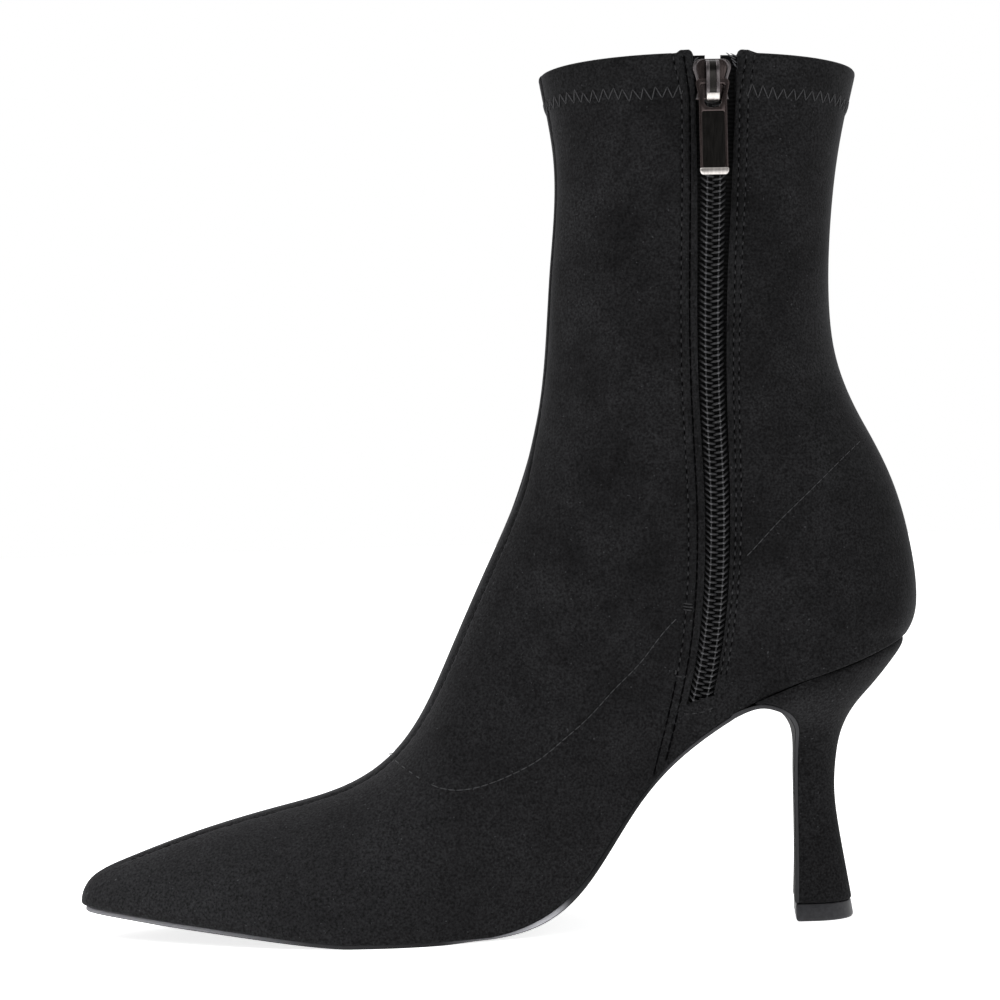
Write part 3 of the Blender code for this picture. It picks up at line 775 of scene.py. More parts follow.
def back_x(z):
    """Place of the back line at a height."""
    return np.interp(z, BACK[:, 1], BACK[:, 0])


def heel_rounding(x, z):
    """One along the sides, falling to zero round the back of the heel."""
    share = np.clip((x - back_x(z) + HEEL_ROUND) / HEEL_ROUND, 0, 1)
    return np.sqrt(1 - share**2)


def foot_width(x, z, side):
    """Half-width of the foot: a rounded arch over the feather line, a little fuller above it."""
    bottom = feather_z(x)
    height = np.maximum(instep_z(x) - bottom, LEAST_HEIGHT)
    rise = np.clip((z - bottom) / height, 0, 1)
    swell = SWELL_PEAK * rise * (1 - rise) ** 2
    fullness = np.minimum(FULLNESS_SHARE * height, MOST_FULLNESS)
    arch = (1 - rise**ARCH_POWER) ** (1 / ARCH_POWER)
    return (last_width(x, side) * arch + fullness * swell) * heel_rounding(x, z)


def shaft_width(x, z):
    """Half-width of the oval shaft."""
    front = np.interp(z, FRONT[:, 1], FRONT[:, 0])
    share = np.clip((x - front) / (back_x(z) - front), 0, 1)
    height = np.clip(np.ravel(z), SHAFT[0, 0], SHAFT[-1, 0])
    half = spline(SHAFT[:, 0], SHAFT[:, 1], height)[:, 0].reshape(np.shape(z))
    return half * np.sqrt(1 - np.abs(2 * share - 1) ** SHAFT_POWER)


def half_width(x, z, side):
    """Distance of the upper's outer face from the centre plane, seen from the side at (x, z)."""
    low = np.maximum(feather_z(x), ANKLE_LOW)
    mix = smoothstep(low, np.maximum(ANKLE_HIGH, low + 1 * MM), z)
    return (1 - mix) * foot_width(x, z, side) + mix * shaft_width(x, z)


def on_side(x, z, side, lift=0.0):
    """Points of one side of the upper at (x, z), lifted off its face, and the normals there."""
    step = SLOPE_STEP
    across = (half_width(x + step, z, side) - half_width(x - step, z, side)) / (2 * step)
    upward = (half_width(x, z + step, side) - half_width(x, z - step, side)) / (2 * step)
    normal = unit(np.stack([-across, np.full_like(across, side), -upward], axis=-1))
    return np.stack([x, side * half_width(x, z, side), z], axis=-1) + lift * normal, normal


def zip_distance(z):
    """Distance along the zip's middle line to a height."""
    return np.interp(-z, -ZIP[:, 1], lengths(ZIP))


def zip_station(distance, offset):
    """Points beside the zip's middle line, seen from the side: offset runs across it towards the heel."""
    here = at_length(ZIP, distance)
    run = unit(at_length(ZIP, distance + 1 * MM) - at_length(ZIP, distance - 1 * MM))
    towards_heel = np.stack([-run[..., 1], run[..., 0]], axis=-1)
    return here + np.broadcast_to(offset, np.shape(distance))[..., None] * towards_heel


def on_zip(distance, offset, lift=0.0):
    """Points and normals beside the zip's middle line, on the inner side of the upper."""
    return on_side(*zip_station(distance, offset).T, INNER, lift)


def zip_runs(distance, offset, far_distance, far_offset, lift=0.0):
    """Starts and ends of threads beside the zip's middle line, and the normals at the starts."""
    starts, normals = on_zip(distance, offset, lift)
    ends, _ = on_zip(far_distance, far_offset, lift)
    return starts, ends, normals


def row_offset(row, distance):
    """Offset of one of the stitch rows beside the zip."""
    return np.interp(distance, ROW_PLACES, row[:4]) * MM


def zip_row_line(row):
    """One of the stitch rows beside the zip, seen from the side, down to just above the sole."""
    distance = np.arange(ROW_STARTS, row[4] * MM, 0.5 * MM)
    line = zip_station(distance, row_offset(row, distance))
    return line[line[:, 1] > feather_z(line[:, 0]) + ROW_CLEARS]


def lining_line():
    """The lining's seam, ending just short of the back line."""
    line = smooth_curve(LINING_LINE)
    return line[line[:, 0] < back_x(line[:, 1]) - LINING_CLEARS]


# Helpers for modelling


def deselect():
    bpy.ops.object.select_all(action="DESELECT")


def pick(*pieces):
    """Selects only these pieces, the first of them active."""
    deselect()
    for piece in pieces:
        piece.select_set(True)
    bpy.context.view_layer.objects.active = pieces[0]


def named(name):
    piece = bpy.context.active_object
    piece.name = piece.data.name = name
    return piece


def close_up(piece, closed=True):
    """Merges the points that meet and shades the piece smooth.

    A closed one is filled, and its faces are turned out."""
    pick(piece)
    bpy.ops.object.mode_set(mode="EDIT")
    bpy.ops.mesh.select_all(action="SELECT")
    bpy.ops.mesh.remove_doubles(threshold=MERGE_WITHIN)
    if closed:
        bpy.ops.mesh.fill_holes(sides=0)
        bpy.ops.mesh.normals_make_consistent(inside=False)
    bpy.ops.object.mode_set(mode="OBJECT")
    bpy.ops.object.shade_smooth()


def laid_grid(name, points, origin=STAND):
    """A grid primitive whose points are laid on the rows and columns given, in the tables' frame."""
    rows, columns = points.shape[:2]
    deselect()
    bpy.ops.mesh.primitive_grid_add(x_subdivisions=columns - 1, y_subdivisions=rows - 1, size=1)
    piece = named(name)
    piece.data.vertices.foreach_set("co", (points + origin).astype(np.float32).ravel())
    piece.data.update()
    return piece


def finish_with(piece, kind, **settings):
    """Adds a modifier with these settings and applies it."""
    pick(piece)
    modifier = piece.modifiers.new(kind.lower(), kind)
    for key, value in settings.items():
        setattr(modifier, key, value)
    bpy.ops.object.modifier_apply(modifier=modifier.name)


def rounded_edges(piece, width):
    finish_with(piece, "BEVEL", width=width, segments=3, limit_method="ANGLE", harden_normals=False)


def repeated(name, model, centres, bases):
    """One mesh of many copies of a small model: each has its own centre and three axes."""
    points = np.array([vert.co for vert in model.data.vertices])
    copies = np.einsum("vk,nkj->nvj", points, bases) + np.asarray(centres)[:, None, :] + STAND
    steps = len(points) * np.arange(len(copies))[:, None, None]
    corners = [list(face.vertices) for face in model.data.polygons]
    loops = []
    for sides in (3, 4):
        faces = np.array([face for face in corners if len(face) == sides])
        loops += (faces[None] + steps).reshape(-1, sides).tolist()
    mesh = bpy.data.meshes.new(name)
    mesh.from_pydata(copies.reshape(-1, 3).tolist(), [], loops)
    mesh.update()
    piece = bpy.data.objects.new(name, mesh)
    bpy.context.scene.collection.objects.link(piece)
    bpy.data.objects.remove(model, do_unlink=True)
    pick(piece)
    bpy.ops.object.mode_set(mode="EDIT")
    bpy.ops.mesh.select_all(action="SELECT")
    bpy.ops.mesh.normals_make_consistent(inside=False)
    bpy.ops.object.mode_set(mode="OBJECT")
    bpy.ops.object.shade_smooth()
    return piece


def thread_model():
    """A short stitch of thread: a small ball, stretched later along its run."""
    deselect()
    bpy.ops.mesh.primitive_uv_sphere_add(segments=8, ring_count=6, radius=1)
    return bpy.context.active_object


def threads(name, starts, ends, normals, thickness):
    """Stitches from each start to its end, lying on a surface with these normals."""
    runs = ends - starts
    aside = unit(np.cross(runs, normals)) * thickness / 2
    out = unit(np.cross(aside, runs)) * thickness / 2
    bases = np.stack([aside, out, runs / 2], axis=1)
    return repeated(name, thread_model(), (starts + ends) / 2, bases)


def landed(upper, points, normals, lift):
    """Points moved along their normals onto the suede, then lifted off it."""
    reach = 4 * MM
    places = []
    for point, normal in zip(points, normals):
        origin = Vector(point + STAND + reach * normal)
        found, place, _, _ = upper.ray_cast(origin, Vector(-normal), distance=2 * reach)
        places.append(np.array(place) - STAND if found else point)
    return np.array(places) + lift * normals


def joined(name, *pieces):
    pick(*pieces)
    bpy.ops.object.join()
    return named(name)


# The upper


def ring_shares():
    """Front share, back share and sag of the rings, closest together at the feather line."""
    table = np.array(RINGS)
    places = np.linspace(0, len(table) - 1, RING_SAMPLES)
    filled = spline(np.arange(len(table)), table, places)
    filled[0] = table[0]
    filled[-1] = table[-1]
    run = filled[:, 0] * lengths(FRONT)[-1] + filled[:, 1] * lengths(BACK)[-1]
    edge = in_metres(EDGE_RUNS)
    even = np.linspace(edge[-1], run[-1], RING_ROWS - len(edge) + 1)
    runs = np.concatenate([edge, even[1:]])
    return np.stack([np.interp(runs, run, column) for column in filled.T], axis=1)


def ring_points(shares, turns):
    """Points of the rings at these turns: 0 is the front, pi the back, with the inner side between them."""
    front_x, front_z = at_length(FRONT, shares[:, 0] * lengths(FRONT)[-1]).T[..., None]
    rear_x, rear_z = at_length(BACK, shares[:, 1] * lengths(BACK)[-1]).T[..., None]
    share = (1 - np.cos(turns)) / 2
    x = front_x + share * (rear_x - front_x)
    straight = front_z + share * (rear_z - front_z)
    front_lift = front_z - feather_z(front_x)
    rear_lift = rear_z - feather_z(rear_x)
    following = feather_z(x) + front_lift + share * (rear_lift - front_lift)
    crown = COLLAR_RISE * smoothstep(COLLAR_CROWN_STARTS, 1, shares[:, :1]) * np.abs(np.sin(turns))
    sag = shares[:, 2:]
    z = sag * following + (1 - sag) * straight + crown
    y = np.where(turns < math.pi, -half_width(x, z, INNER), half_width(x, z, OUTER))
    y[np.abs(np.sin(turns)) < 1e-6] = 0
    return np.stack([x, y, z], axis=-1)


def crowded(count):
    """Shares from 0 to 1, closer together at both ends."""
    even = np.linspace(0, 1, count + 1)
    return even - END_CROWDING * np.sin(2 * math.pi * even) / (2 * math.pi)


def slot_turns(ring, turns):
    """Turns where a ring meets the front and the rear edge of the zip's slot. Below its end they are one."""
    seen = (turns > SLOT_SEEN[0]) & (turns < SLOT_SEEN[1])
    turns = turns[seen]
    x, _, z = ring[seen].T
    way_x, way_z = along_line(ZIP, unit(np.gradient(ZIP, axis=0)), zip_distance(z)).T
    beside = x - np.interp(z, ZIP[::-1, 1], ZIP[::-1, 0])
    offset = -beside * way_z
    distance = zip_distance(z) + beside * way_x
    front, rear = (np.interp(distance, SLOT[:, 0], SLOT[:, column]) for column in (1, 2))
    front_turn, rear_turn = np.interp(0, offset + front, turns), np.interp(0, offset - rear, turns)
    past_end = distance + SLOT_END_SLOPE * offset > SLOT_END
    ended = turns[past_end & (turns > front_turn) & (turns < rear_turn)]
    closed_to = min(ended.max(initial=0) + turns[1] - turns[0], rear_turn)
    return max(front_turn, closed_to), rear_turn


def read(table, x):
    """Second column of a table in metres, read at x."""
    return np.interp(x, *in_metres(table).T)


def lapped(points):
    """The lower edge drawn down over the sole, and the rim down by the height of its fold."""
    x, z = points[..., 0], points[..., 2]
    edge_share = 1 - smoothstep(0, LAP_FADES, z - feather_z(x))
    rim_share = smoothstep(RIM_DROP_STARTS, 1, np.linspace(0, 1, RING_ROWS))[:, None]
    points[..., 2] -= read(EDGE_LAP, x) * edge_share + RIM_DROP * rim_share
    return points


def seam_scales(ring, run, place):
    """Scales of the distance from the front, on both sides, that put the groove inside the outline."""
    way = unit(at_length(FRONT, place + 1 * MM) - at_length(FRONT, place - 1 * MM))
    behind = (ring[:, 0] - ring[0, 0]) * way[1] - (ring[:, 2] - ring[0, 2]) * way[0]
    wanted = read(SEAM_BEHIND, place)
    inner = run[np.argmax(behind > wanted)]
    outer = run[np.argmax(behind[::-1] > wanted)]
    return SEAM_ROW / max(inner, SEAM_NEAREST), SEAM_ROW / max(outer, SEAM_NEAREST)


def upper_sheet():
    """The suede as one sheet, from the zip's rear edge round the outer side to its front edge.

    Gives the points, their distances to the slot's edge and the front seam, and how far the slot is open."""
    shares = ring_shares()
    turns = np.linspace(0, 2 * math.pi, TURN_SAMPLES)
    dense = ring_points(shares, np.tile(turns, (RING_ROWS, 1)))
    rear, outer, front = crowded(REAR_COLUMNS), crowded(OUTER_COLUMNS)[1:], crowded(FRONT_COLUMNS)[1:]
    picked, to_slot, to_seam, opened = [], [], [], []
    for ring, place in zip(dense, shares[:, 0] * lengths(FRONT)[-1]):
        run = lengths(ring)
        inner_scale, outer_scale = seam_scales(ring, run, place)
        front_turn, rear_turn = slot_turns(ring, turns)
        rear_run, back_run, front_run = np.interp((rear_turn, math.pi, front_turn), turns, run)
        rear_places = rear_run + (back_run - rear_run) * rear
        outer_places = back_run + (run[-1] - back_run) * outer
        front_places = front_run * front
        places = np.concatenate([rear_places, outer_places, front_places])
        picked.append(np.interp(places, run, turns))
        far = np.full(OUTER_COLUMNS, 1.0)
        to_slot.append(np.concatenate([rear_places - rear_run, far, front_run - front_places]))
        outer_seam = (run[-1] - outer_places) * outer_scale
        far = np.full(REAR_COLUMNS + 1, 1.0)
        to_seam.append(np.concatenate([far, outer_seam, front_places * inner_scale]))
        opened.append((rear_run - front_run) / 2)
    points = lapped(ring_points(shares, np.array(picked)))
    opened = smoothstep(0, FOLD_OPENS, np.array(opened))[:, None]
    return points, np.array(to_slot), np.array(to_seam), opened


def sheet_normals(points):
    normal = unit(np.cross(np.gradient(points, axis=1), np.gradient(points, axis=0)))
    normal[0] = unit(normal[0] * (1, 1, 0))
    return normal


def groove(distance, half):
    """One in the middle of a soft groove, falling to zero at its edges."""
    return np.cos(np.clip(distance / half, -1, 1) * math.pi / 2) ** 2


def to_line(points, line):
    """Distance of points from a line, both seen from the side."""
    flat = points[..., [0, 2]].reshape(-1, 2)
    nearest = np.full(len(flat), 1.0)
    for here in at_length(line, np.arange(0, lengths(line)[-1], 0.5 * MM)):
        nearest = np.minimum(nearest, np.linalg.norm(flat - here, axis=1))
    return nearest.reshape(points.shape[:-1])


def undulation(points):
    """Slow unevenness of the stretched cloth."""
    uneven = np.zeros(points.shape[:2])
    for share, *pair in WAVES:
        product = share
        for *waves, phase in pair:
            turn = sum(points[..., axis] / (wave * MM) for axis, wave in enumerate(waves) if wave)
            product = product * np.sin(turn + phase)
        uneven += product
    return uneven


def creases(points):
    """Soft troughs with a low ridge on each side."""
    sunk = np.zeros(points.shape[:2])
    for x, z, long, wide, lean, depth, side in CREASES:
        turn = math.radians(lean)
        from_x, from_z = points[..., 0] / MM - x, points[..., 2] / MM - z
        along = (from_x * math.cos(turn) + from_z * math.sin(turn)) / long
        aside = np.abs(from_z * math.cos(turn) - from_x * math.sin(turn)) / wide
        trough = np.exp(-(aside**2)) - RIDGE_SHARE * np.exp(-((aside - RIDGE_AT) ** 2))
        sunk += (points[..., 1] * side > 0) * depth * MM * trough * np.exp(-(along**2))
    return sunk


def relief(points, to_slot, to_seam, opened, to_rim):
    """Height of seams, folds, hem, creases and stitch grooves over the smooth form."""
    inner = points[..., 1] < 0
    rise = UNDULATION * undulation(points) - creases(points)
    seam = SEAM_RISE * (1 - smoothstep(SEAM_FALLS, SEAM_ROW, to_seam))
    seam -= SEAM_GROOVE * groove(to_seam - SEAM_ROW, SEAM_GROOVE_HALF)
    rise += seam * smoothstep(*SEAM_STARTS, points[..., 0])
    rise += opened * FACING_RISE * (1 - smoothstep(*FACING_FALLS, to_slot))
    end_fold = zip_station(*in_metres(END_FOLD).T)
    rise += inner * END_FOLD_RISE * groove(to_line(points, end_fold), END_FOLD_HALF)
    for row in ZIP_ROWS:
        rise -= inner * ROW_GROOVE * groove(to_line(points, zip_row_line(row)), GROOVE_HALF)
    rise -= LINING_GROOVE * groove(to_line(points, lining_line()), GROOVE_HALF)
    rise += HEM_RISE * (1 - smoothstep(*HEM_HEIGHT, to_rim + read(HEM_NARROWS, points[..., 0])))
    roll = read(EDGE_ROLL, points[..., 0])
    return rise - roll * rounded_off(to_rim[0] - to_rim, roll)


def fold_arc(radius):
    """Reach past an edge and depth behind the face, round a fold of this radius."""
    turns = np.linspace(0, math.pi, FOLD_STEPS + 1)[1:]
    return [(radius * math.sin(turn), radius * (1 - math.cos(turn))) for turn in turns]


def fold_columns(points, to_slot):
    """Columns of the sheet with its folded edges: base column, edge column, reach past it and depth."""
    last = points.shape[1] - 1
    arc = fold_arc(FOLD_RADIUS)
    back = [np.searchsorted(to_slot[FACING_ROW], FACING_INSIDE * share) for share in FACING_STEPS]
    columns = [(step, 0, 0.0, 2 * FOLD_RADIUS) for step in reversed(back)]
    columns += [(0, 0, *bend) for bend in reversed(arc)]
    columns += [(step, step, 0.0, 0.0) for step in range(last + 1)]
    columns += [(last, last, *bend) for bend in arc]
    columns += [(last - step, last, 0.0, 2 * FOLD_RADIUS) for step in back]
    return [np.array(column) for column in zip(*columns)]


def fold_rows(to_rim):
    """Rows of the sheet with the turned hem and the edge tucked under: base row, reach past it and depth."""
    last = RING_ROWS - 1
    rows = [(0, *tuck) for tuck in in_metres(EDGE_TUCK)]
    rows += [(step, 0.0, 0.0) for step in range(last + 1)]
    rows += [(last, *bend) for bend in fold_arc(RIM_RADIUS)]
    for share in HEM_STEPS:
        rows.append((last - np.searchsorted(to_rim[::-1], HEM_INSIDE * share), 0.0, 2 * RIM_RADIUS))
    return [np.array(row) for row in zip(*rows)]


def facings_stood_up(points, to_slot, opened):
    """The zip's facings stand a little above the collar, with rounded corners at the slot."""
    stand = FACING_STANDS * (1 - smoothstep(*FACING_STANDS_TO, to_slot))
    stand -= FACING_CORNER * rounded_off(to_slot, FACING_CORNER)
    near_rim = smoothstep(FACING_STANDS_FROM, 1, np.linspace(0, 1, RING_ROWS))[:, None]
    points[..., 2] += opened * stand * near_rim
    return points


def make_upper():
    points, to_slot, to_seam, opened = upper_sheet()
    points = facings_stood_up(points, to_slot, opened)
    steps = np.linalg.norm(np.diff(points, axis=0), axis=2)
    to_rim = np.vstack([np.cumsum(steps[::-1], axis=0)[::-1], np.zeros_like(steps[:1])])
    normal = sheet_normals(points)
    points = points + relief(points, to_slot, to_seam, opened, to_rim)[..., None] * normal
    column, edge, past, fold_depth = fold_columns(points, to_slot)
    row, above, hem_depth = fold_rows(to_rim[:, OUTER_COLUMNS])
    picked = np.ix_(row, column)
    at_edge = np.ix_(row, edge)
    upward = unit(np.gradient(points, axis=0))
    away = np.where(np.arange(points.shape[1]) < REAR_COLUMNS, -1, 1)[:, None]
    across = unit(np.gradient(points, axis=1)) * away
    open_here = opened[row]
    depth = np.maximum(fold_depth[None] * open_here, hem_depth[:, None])
    own = (column == edge)[None] | (open_here > 0.5)
    folded = np.where(own[..., None], points[picked], points[at_edge])
    folded += above[:, None, None] * upward[picked]
    folded += (past[None] * open_here)[..., None] * across[picked] - depth[..., None] * normal[at_edge]
    upper = laid_grid("upper_suede", folded)
    close_up(upper, closed=False)
    inside = (points - LINING_DEPTH * normal)[:-LINING_STOPS:LINING_STRIDE, ::-LINING_STRIDE]
    lining = laid_grid("upper_lining", inside)
    close_up(lining, closed=False)
    return upper, lining, points, normal, to_rim, to_seam


# Sole, heel and insole


def sole_line():
    """The sole's upper face in side view, from toe to heel tip: x, z, two half-widths and thickness."""
    toe_to_waist = np.linspace(math.sqrt(SOLE_TOE), math.sqrt(WAIST_END), SOLE_STATIONS) ** 2
    forefoot = np.stack([toe_to_waist, feather_z(toe_to_waist)], axis=1)
    way = unit(np.gradient(forefoot, axis=0))
    forefoot -= GAP * np.stack([-way[:, 1], way[:, 0]], axis=1)
    thickness = spline(FEATHER[:, 0], FEATHER[:, 4], toe_to_waist)
    from_tip = toe_to_waist - SOLE_TOE * np.clip(1 - toe_to_waist / SOLE_TOE_FADES, 0, 1)
    widths = np.stack([last_width(from_tip, INNER), last_width(from_tip, OUTER)], axis=1)
    widths = np.maximum(widths - read(SOLE_INSET, toe_to_waist)[:, None], 0)
    breast = np.insert(in_metres(BREAST_LINE)[:, [0, 1, 2, 2]], 4, BREAST_THICKNESS, axis=1)
    whole = np.concatenate([np.hstack([forefoot, widths, thickness]), breast])
    knots = lengths(whole[:, :2])
    to_tip = np.linspace(knots[SOLE_STATIONS - 1], knots[-1], BREAST_STATIONS)
    return spline(knots, whole, np.concatenate([knots[:SOLE_STATIONS], to_tip[1:]]))


def make_sole():
    line = sole_line()
    way = unit(np.gradient(line[:, :2], axis=0))
    below = np.stack([way[:, 1], -way[:, 0]], axis=1)
    turns = np.linspace(0, math.pi, SOLE_EDGE_POINTS)
    drops = (1 - np.cos(turns)) / 2
    spread = np.linspace(1, -1, SOLE_COLUMNS)[1:-1]
    sections = []
    lifts = np.where(np.arange(len(line)) < SOLE_STATIONS, 0, BREAST_CLOSES)
    for (x, z, inner, outer, depth), down, lift in zip(line, below, lifts):
        proud = SOLE_EDGE_PROUD * depth * np.sin(turns)
        middle = (outer - inner) / 2 + spread * (outer + inner) / 2
        across = np.concatenate([-inner - proud, middle[::-1], (outer + proud)[::-1], middle])
        drop = np.concatenate([drops, np.ones(len(middle)), drops[::-1], np.zeros(len(middle))])
        drop = drop * (depth + lift) - lift
        section = np.stack([x + drop * down[0], across, np.maximum(z + drop * down[1], 0)], axis=1)
        sections.append(np.vstack([section, section[:1]]))
    sections = np.array(sections)
    sections[SOLE_STATIONS:] = turned(sections[SOLE_STATIONS:], line[SOLE_STATIONS:, 2:3])
    sole = laid_grid("sole_tread", sections)
    close_up(sole)
    inner_edge = sections[:, :EDGE_PAINTED] - (0, EDGE_PAINT, 0)
    outer_top = 2 * SOLE_EDGE_POINTS + SOLE_COLUMNS - 2
    outer_edge = sections[:, outer_top - EDGE_PAINTED : outer_top] + (0, EDGE_PAINT, 0)
    nose = (inner_edge[:1, ::-1] + outer_edge[:1]) / 2 - (EDGE_PAINT, 0, 0)
    edge = laid_grid("sole_edge", np.concatenate([inner_edge[::-1, ::-1], nose, outer_edge]))
    close_up(edge, closed=False)
    return sole, edge


def make_insole():
    x = np.linspace(*np.sqrt(INSOLE_ENDS), INSOLE_STATIONS) ** 2
    bottom = feather_z(x)
    inset = WALL + INSOLE_CLEARANCE
    inner = last_width(x, INNER) * heel_rounding(x + inset, bottom) - inset
    outer = last_width(x, OUTER) * heel_rounding(x + inset, bottom) - inset
    spread = np.linspace(-1, 1, INSOLE_COLUMNS)
    middle = (outer - inner)[:, None] / 2 + spread * (outer + inner)[:, None] / 2
    crown = INSOLE_THICKNESS * (1 - np.abs(spread) ** INSOLE_EDGE_POWER)
    top = np.stack([np.broadcast_to(x[:, None], middle.shape), middle, bottom[:, None] + crown], axis=-1)
    insole = laid_grid("insole_sock", top.transpose(1, 0, 2))
    close_up(insole, closed=False)
    return insole


def d_section(front, back, half):
    """A D seen from above: flat across the front with rounded corners, and rounded behind."""
    turns = np.linspace(0, math.pi / 2, HEEL_SIDE_POINTS)
    share = HEEL_FLAT_SHARE + (1 - HEEL_FLAT_SHARE) * np.sin(turns)
    lead = np.linspace(0, 1, HEEL_CORNER_POINTS + 1)[:-1] * math.pi / 2
    along = np.concatenate([[0.0], HEEL_CORNER * (1 - np.cos(lead)), share])
    across = half * np.concatenate([[0.0], 1 - HEEL_CORNER + HEEL_CORNER * np.sin(lead), np.cos(turns)])
    across[-1] = 0
    x = front[0] + along * (back[0] - front[0])
    z = front[1] + along * (back[1] - front[1])
    one = np.stack([x, -across, z], axis=1)
    other = np.stack([x, across, z], axis=1)[-2::-1]
    return np.concatenate([one, other])


def turned(sections, half, share=0.0):
    """Sections of the heel with their front turned a little towards the outer side."""
    low = 1 - smoothstep(*HEEL_TURN_FADES, sections[..., 2])
    sections[..., 0] -= HEEL_TURN * (half - sections[..., 1]) * low * (1 - share)
    return sections


def make_heel():
    """The covered heel block. Its cover rolls in at the seat and above the tip."""
    rows = in_metres(HEEL_SECTIONS)
    knots = lengths(rows[:, :2]) + lengths(rows[:, 2:4])
    edge = in_metres(HEEL_EDGE_RUNS)
    runs = np.linspace(edge[-1], knots[-1] - edge[-1], HEEL_ROWS)
    runs = np.concatenate([edge[:-1], runs, (knots[-1] - edge[:-1])[::-1]])
    filled = spline(knots, rows, runs)
    seat, foot = (
        depth * rounded_off(run, roll)[:, None]
        for run, roll, depth in zip((runs, knots[-1] - runs), HEEL_ROLL, HEEL_ROLL_DEPTH)
    )
    sections = np.array([d_section(row[:2], row[2:4], row[4]) for row in filled])
    inset = seat * smoothstep(*SEAT_GROOVE_STARTS, sections[..., 0]) + foot
    front, back, half = filled[:, :1], filled[:, 2:3], filled[:, 4:]
    share = (sections[..., 0] - front) / (back - front)
    sections[..., 0] -= inset * share
    sections[..., 1] *= 1 - inset / half
    sections = turned(sections, half, share)
    sections[0, :, 2] = feather_z(sections[0, :, 0]) - GAP
    heel = laid_grid("heel_cover", sections[::-1])
    close_up(heel)
    return heel


def make_heel_tip():
    table = in_metres(TIP_SECTIONS)
    sections = np.array([d_section((front, z), (back, z), half) for front, back, half, z in table])
    front, back, half = table[:, :1], table[:, 1:2], table[:, 2:3]
    sections = turned(sections, half, (sections[..., 0] - front) / (back - front))
    tip = laid_grid("heel_top_piece", sections[::-1])
    close_up(tip)
    return tip


# The zip


def tooth_model():
    """One bent tooth of monofilament with rounded ends, in millimetres."""
    path = smooth_curve(TOOTH_LINE, samples=200) / MM
    share = (1 - np.cos(np.linspace(0, math.pi, TOOTH_RINGS))) / 2
    path = at_length(path, share * lengths(path)[-1])
    thick = np.sqrt(np.clip(1 - (2 * share - 1) ** TOOTH_END_POWER, 0, 1))[:, None]
    turn = np.linspace(0, 2 * math.pi, TOOTH_SIDES + 1)
    out = TOOTH_RADIUS * thick * np.sin(turn)
    up = TOOTH_RADIUS * thick * np.cos(turn)
    rings = path[:, None, :] + np.stack([np.zeros_like(out), out, up], axis=-1)
    model = laid_grid("tooth", rings, origin=np.zeros(3))
    close_up(model, closed=False)
    return model


def tooth_distances(side):
    """Places of the teeth along the zip. The rear half is half a pitch out of step."""
    distance = np.arange(COIL_ENDS[0], COIL_ENDS[1] - TOOTH_PITCH, TOOTH_PITCH)
    return distance + (TOOTH_PITCH / 2 if side > 0 else 0)


def coil_sewing(side, name, run, thickness):
    """Threads over one half of the coil, each from one offset and distance below its tooth to another."""
    distance = tooth_distances(side)
    offset, below, far_offset, far_below = in_metres(run)
    start, end = (distance + below, side * offset), (distance + far_below, side * far_offset)
    return threads(name, *zip_runs(*start, *end, -SEWING_DEPTH), thickness)


def make_coil(side, name):
    """One half of the coil: a bent tooth at each pitch, and the upright threads that tie them."""
    distance = tooth_distances(side)
    centres, normals = on_zip(distance, 0.0, -TOOTH_DEPTH)
    below, _ = on_zip(distance + TOOTH_PITCH, 0.0, -TOOTH_DEPTH)
    upward = unit(centres - below)
    across = side * unit(np.cross(upward, normals))
    bases = np.stack([across, normals, upward], axis=1) * MM
    teeth = repeated("teeth", tooth_model(), centres, bases)
    return joined(name, teeth, coil_sewing(side, "uprights", UPRIGHT, UPRIGHT_THICKNESS))


def make_coil_knots(side, name):
    return coil_sewing(side, name, KNOT, KNOT_THICKNESS)


def make_frayed_yarn():
    """Loose yarn at the tapes' upper ends."""
    runs = zip_runs(*in_metres(FRAYED_YARN).T, -YARN_DEPTH)
    return threads("frayed_yarn", *runs, YARN_THICKNESS)


def slider_frame():
    """Place of the slider: X across the zip towards the heel, Y into the boot and Z up along the zip."""
    distances = np.array((SLIDER_AT, SLIDER_AT - PLATE_OUTLINE[0][1] * MM))
    points, normals = on_zip(distances, SLIDER_ASIDE)
    here, above = Vector(points[0]), Vector(points[1])
    inward = -Vector(normals[0])
    up = above - here
    up = (up - up.project(inward)).normalized()
    turn = Matrix((inward.cross(up), inward, up)).transposed().to_4x4()
    return Matrix.Translation(here + Vector(STAND)) @ turn


def plate(name, outline, low, high, bevel):
    """A flat plate: a filled circle whose points are laid on the outline, extruded, with rounded edges."""
    deselect()
    bpy.ops.mesh.primitive_circle_add(vertices=len(outline), radius=1, fill_type="NGON")
    piece = named(name)
    for vert, (x, z) in zip(piece.data.vertices, outline):
        vert.co = (x, -low, z)
    bpy.ops.object.mode_set(mode="EDIT")
    bpy.ops.mesh.select_all(action="SELECT")
    bpy.ops.mesh.extrude_region_move(TRANSFORM_OT_translate={"value": (0, low - high, 0)})
    bpy.ops.mesh.select_all(action="SELECT")
    bpy.ops.mesh.normals_make_consistent(inside=False)
    bpy.ops.object.mode_set(mode="OBJECT")
    if bevel:
        rounded_edges(piece, bevel)
    return piece


def rounded_rectangle(half, low, high, corner, steps=6):
    """Outline of a plate with its corners rounded."""
    points = []
    middles = ((half - corner, high - corner), (corner - half, high - corner))
    middles += ((corner - half, low + corner), (half - corner, low + corner))
    for quarter, (x, z) in enumerate(middles):
        for step in range(steps + 1):
            angle = math.pi / 2 * (quarter + step / steps)
            points.append((x + corner * math.cos(angle), z + corner * math.sin(angle)))
    return points


def mirrored(half):
    """A closed outline from the points of its right side. Ends on the middle line aren't doubled."""
    other = (half * (-1, 1))[::-1]
    return np.concatenate([half, other[np.abs(other[:, 0]) > MERGE_WITHIN]])


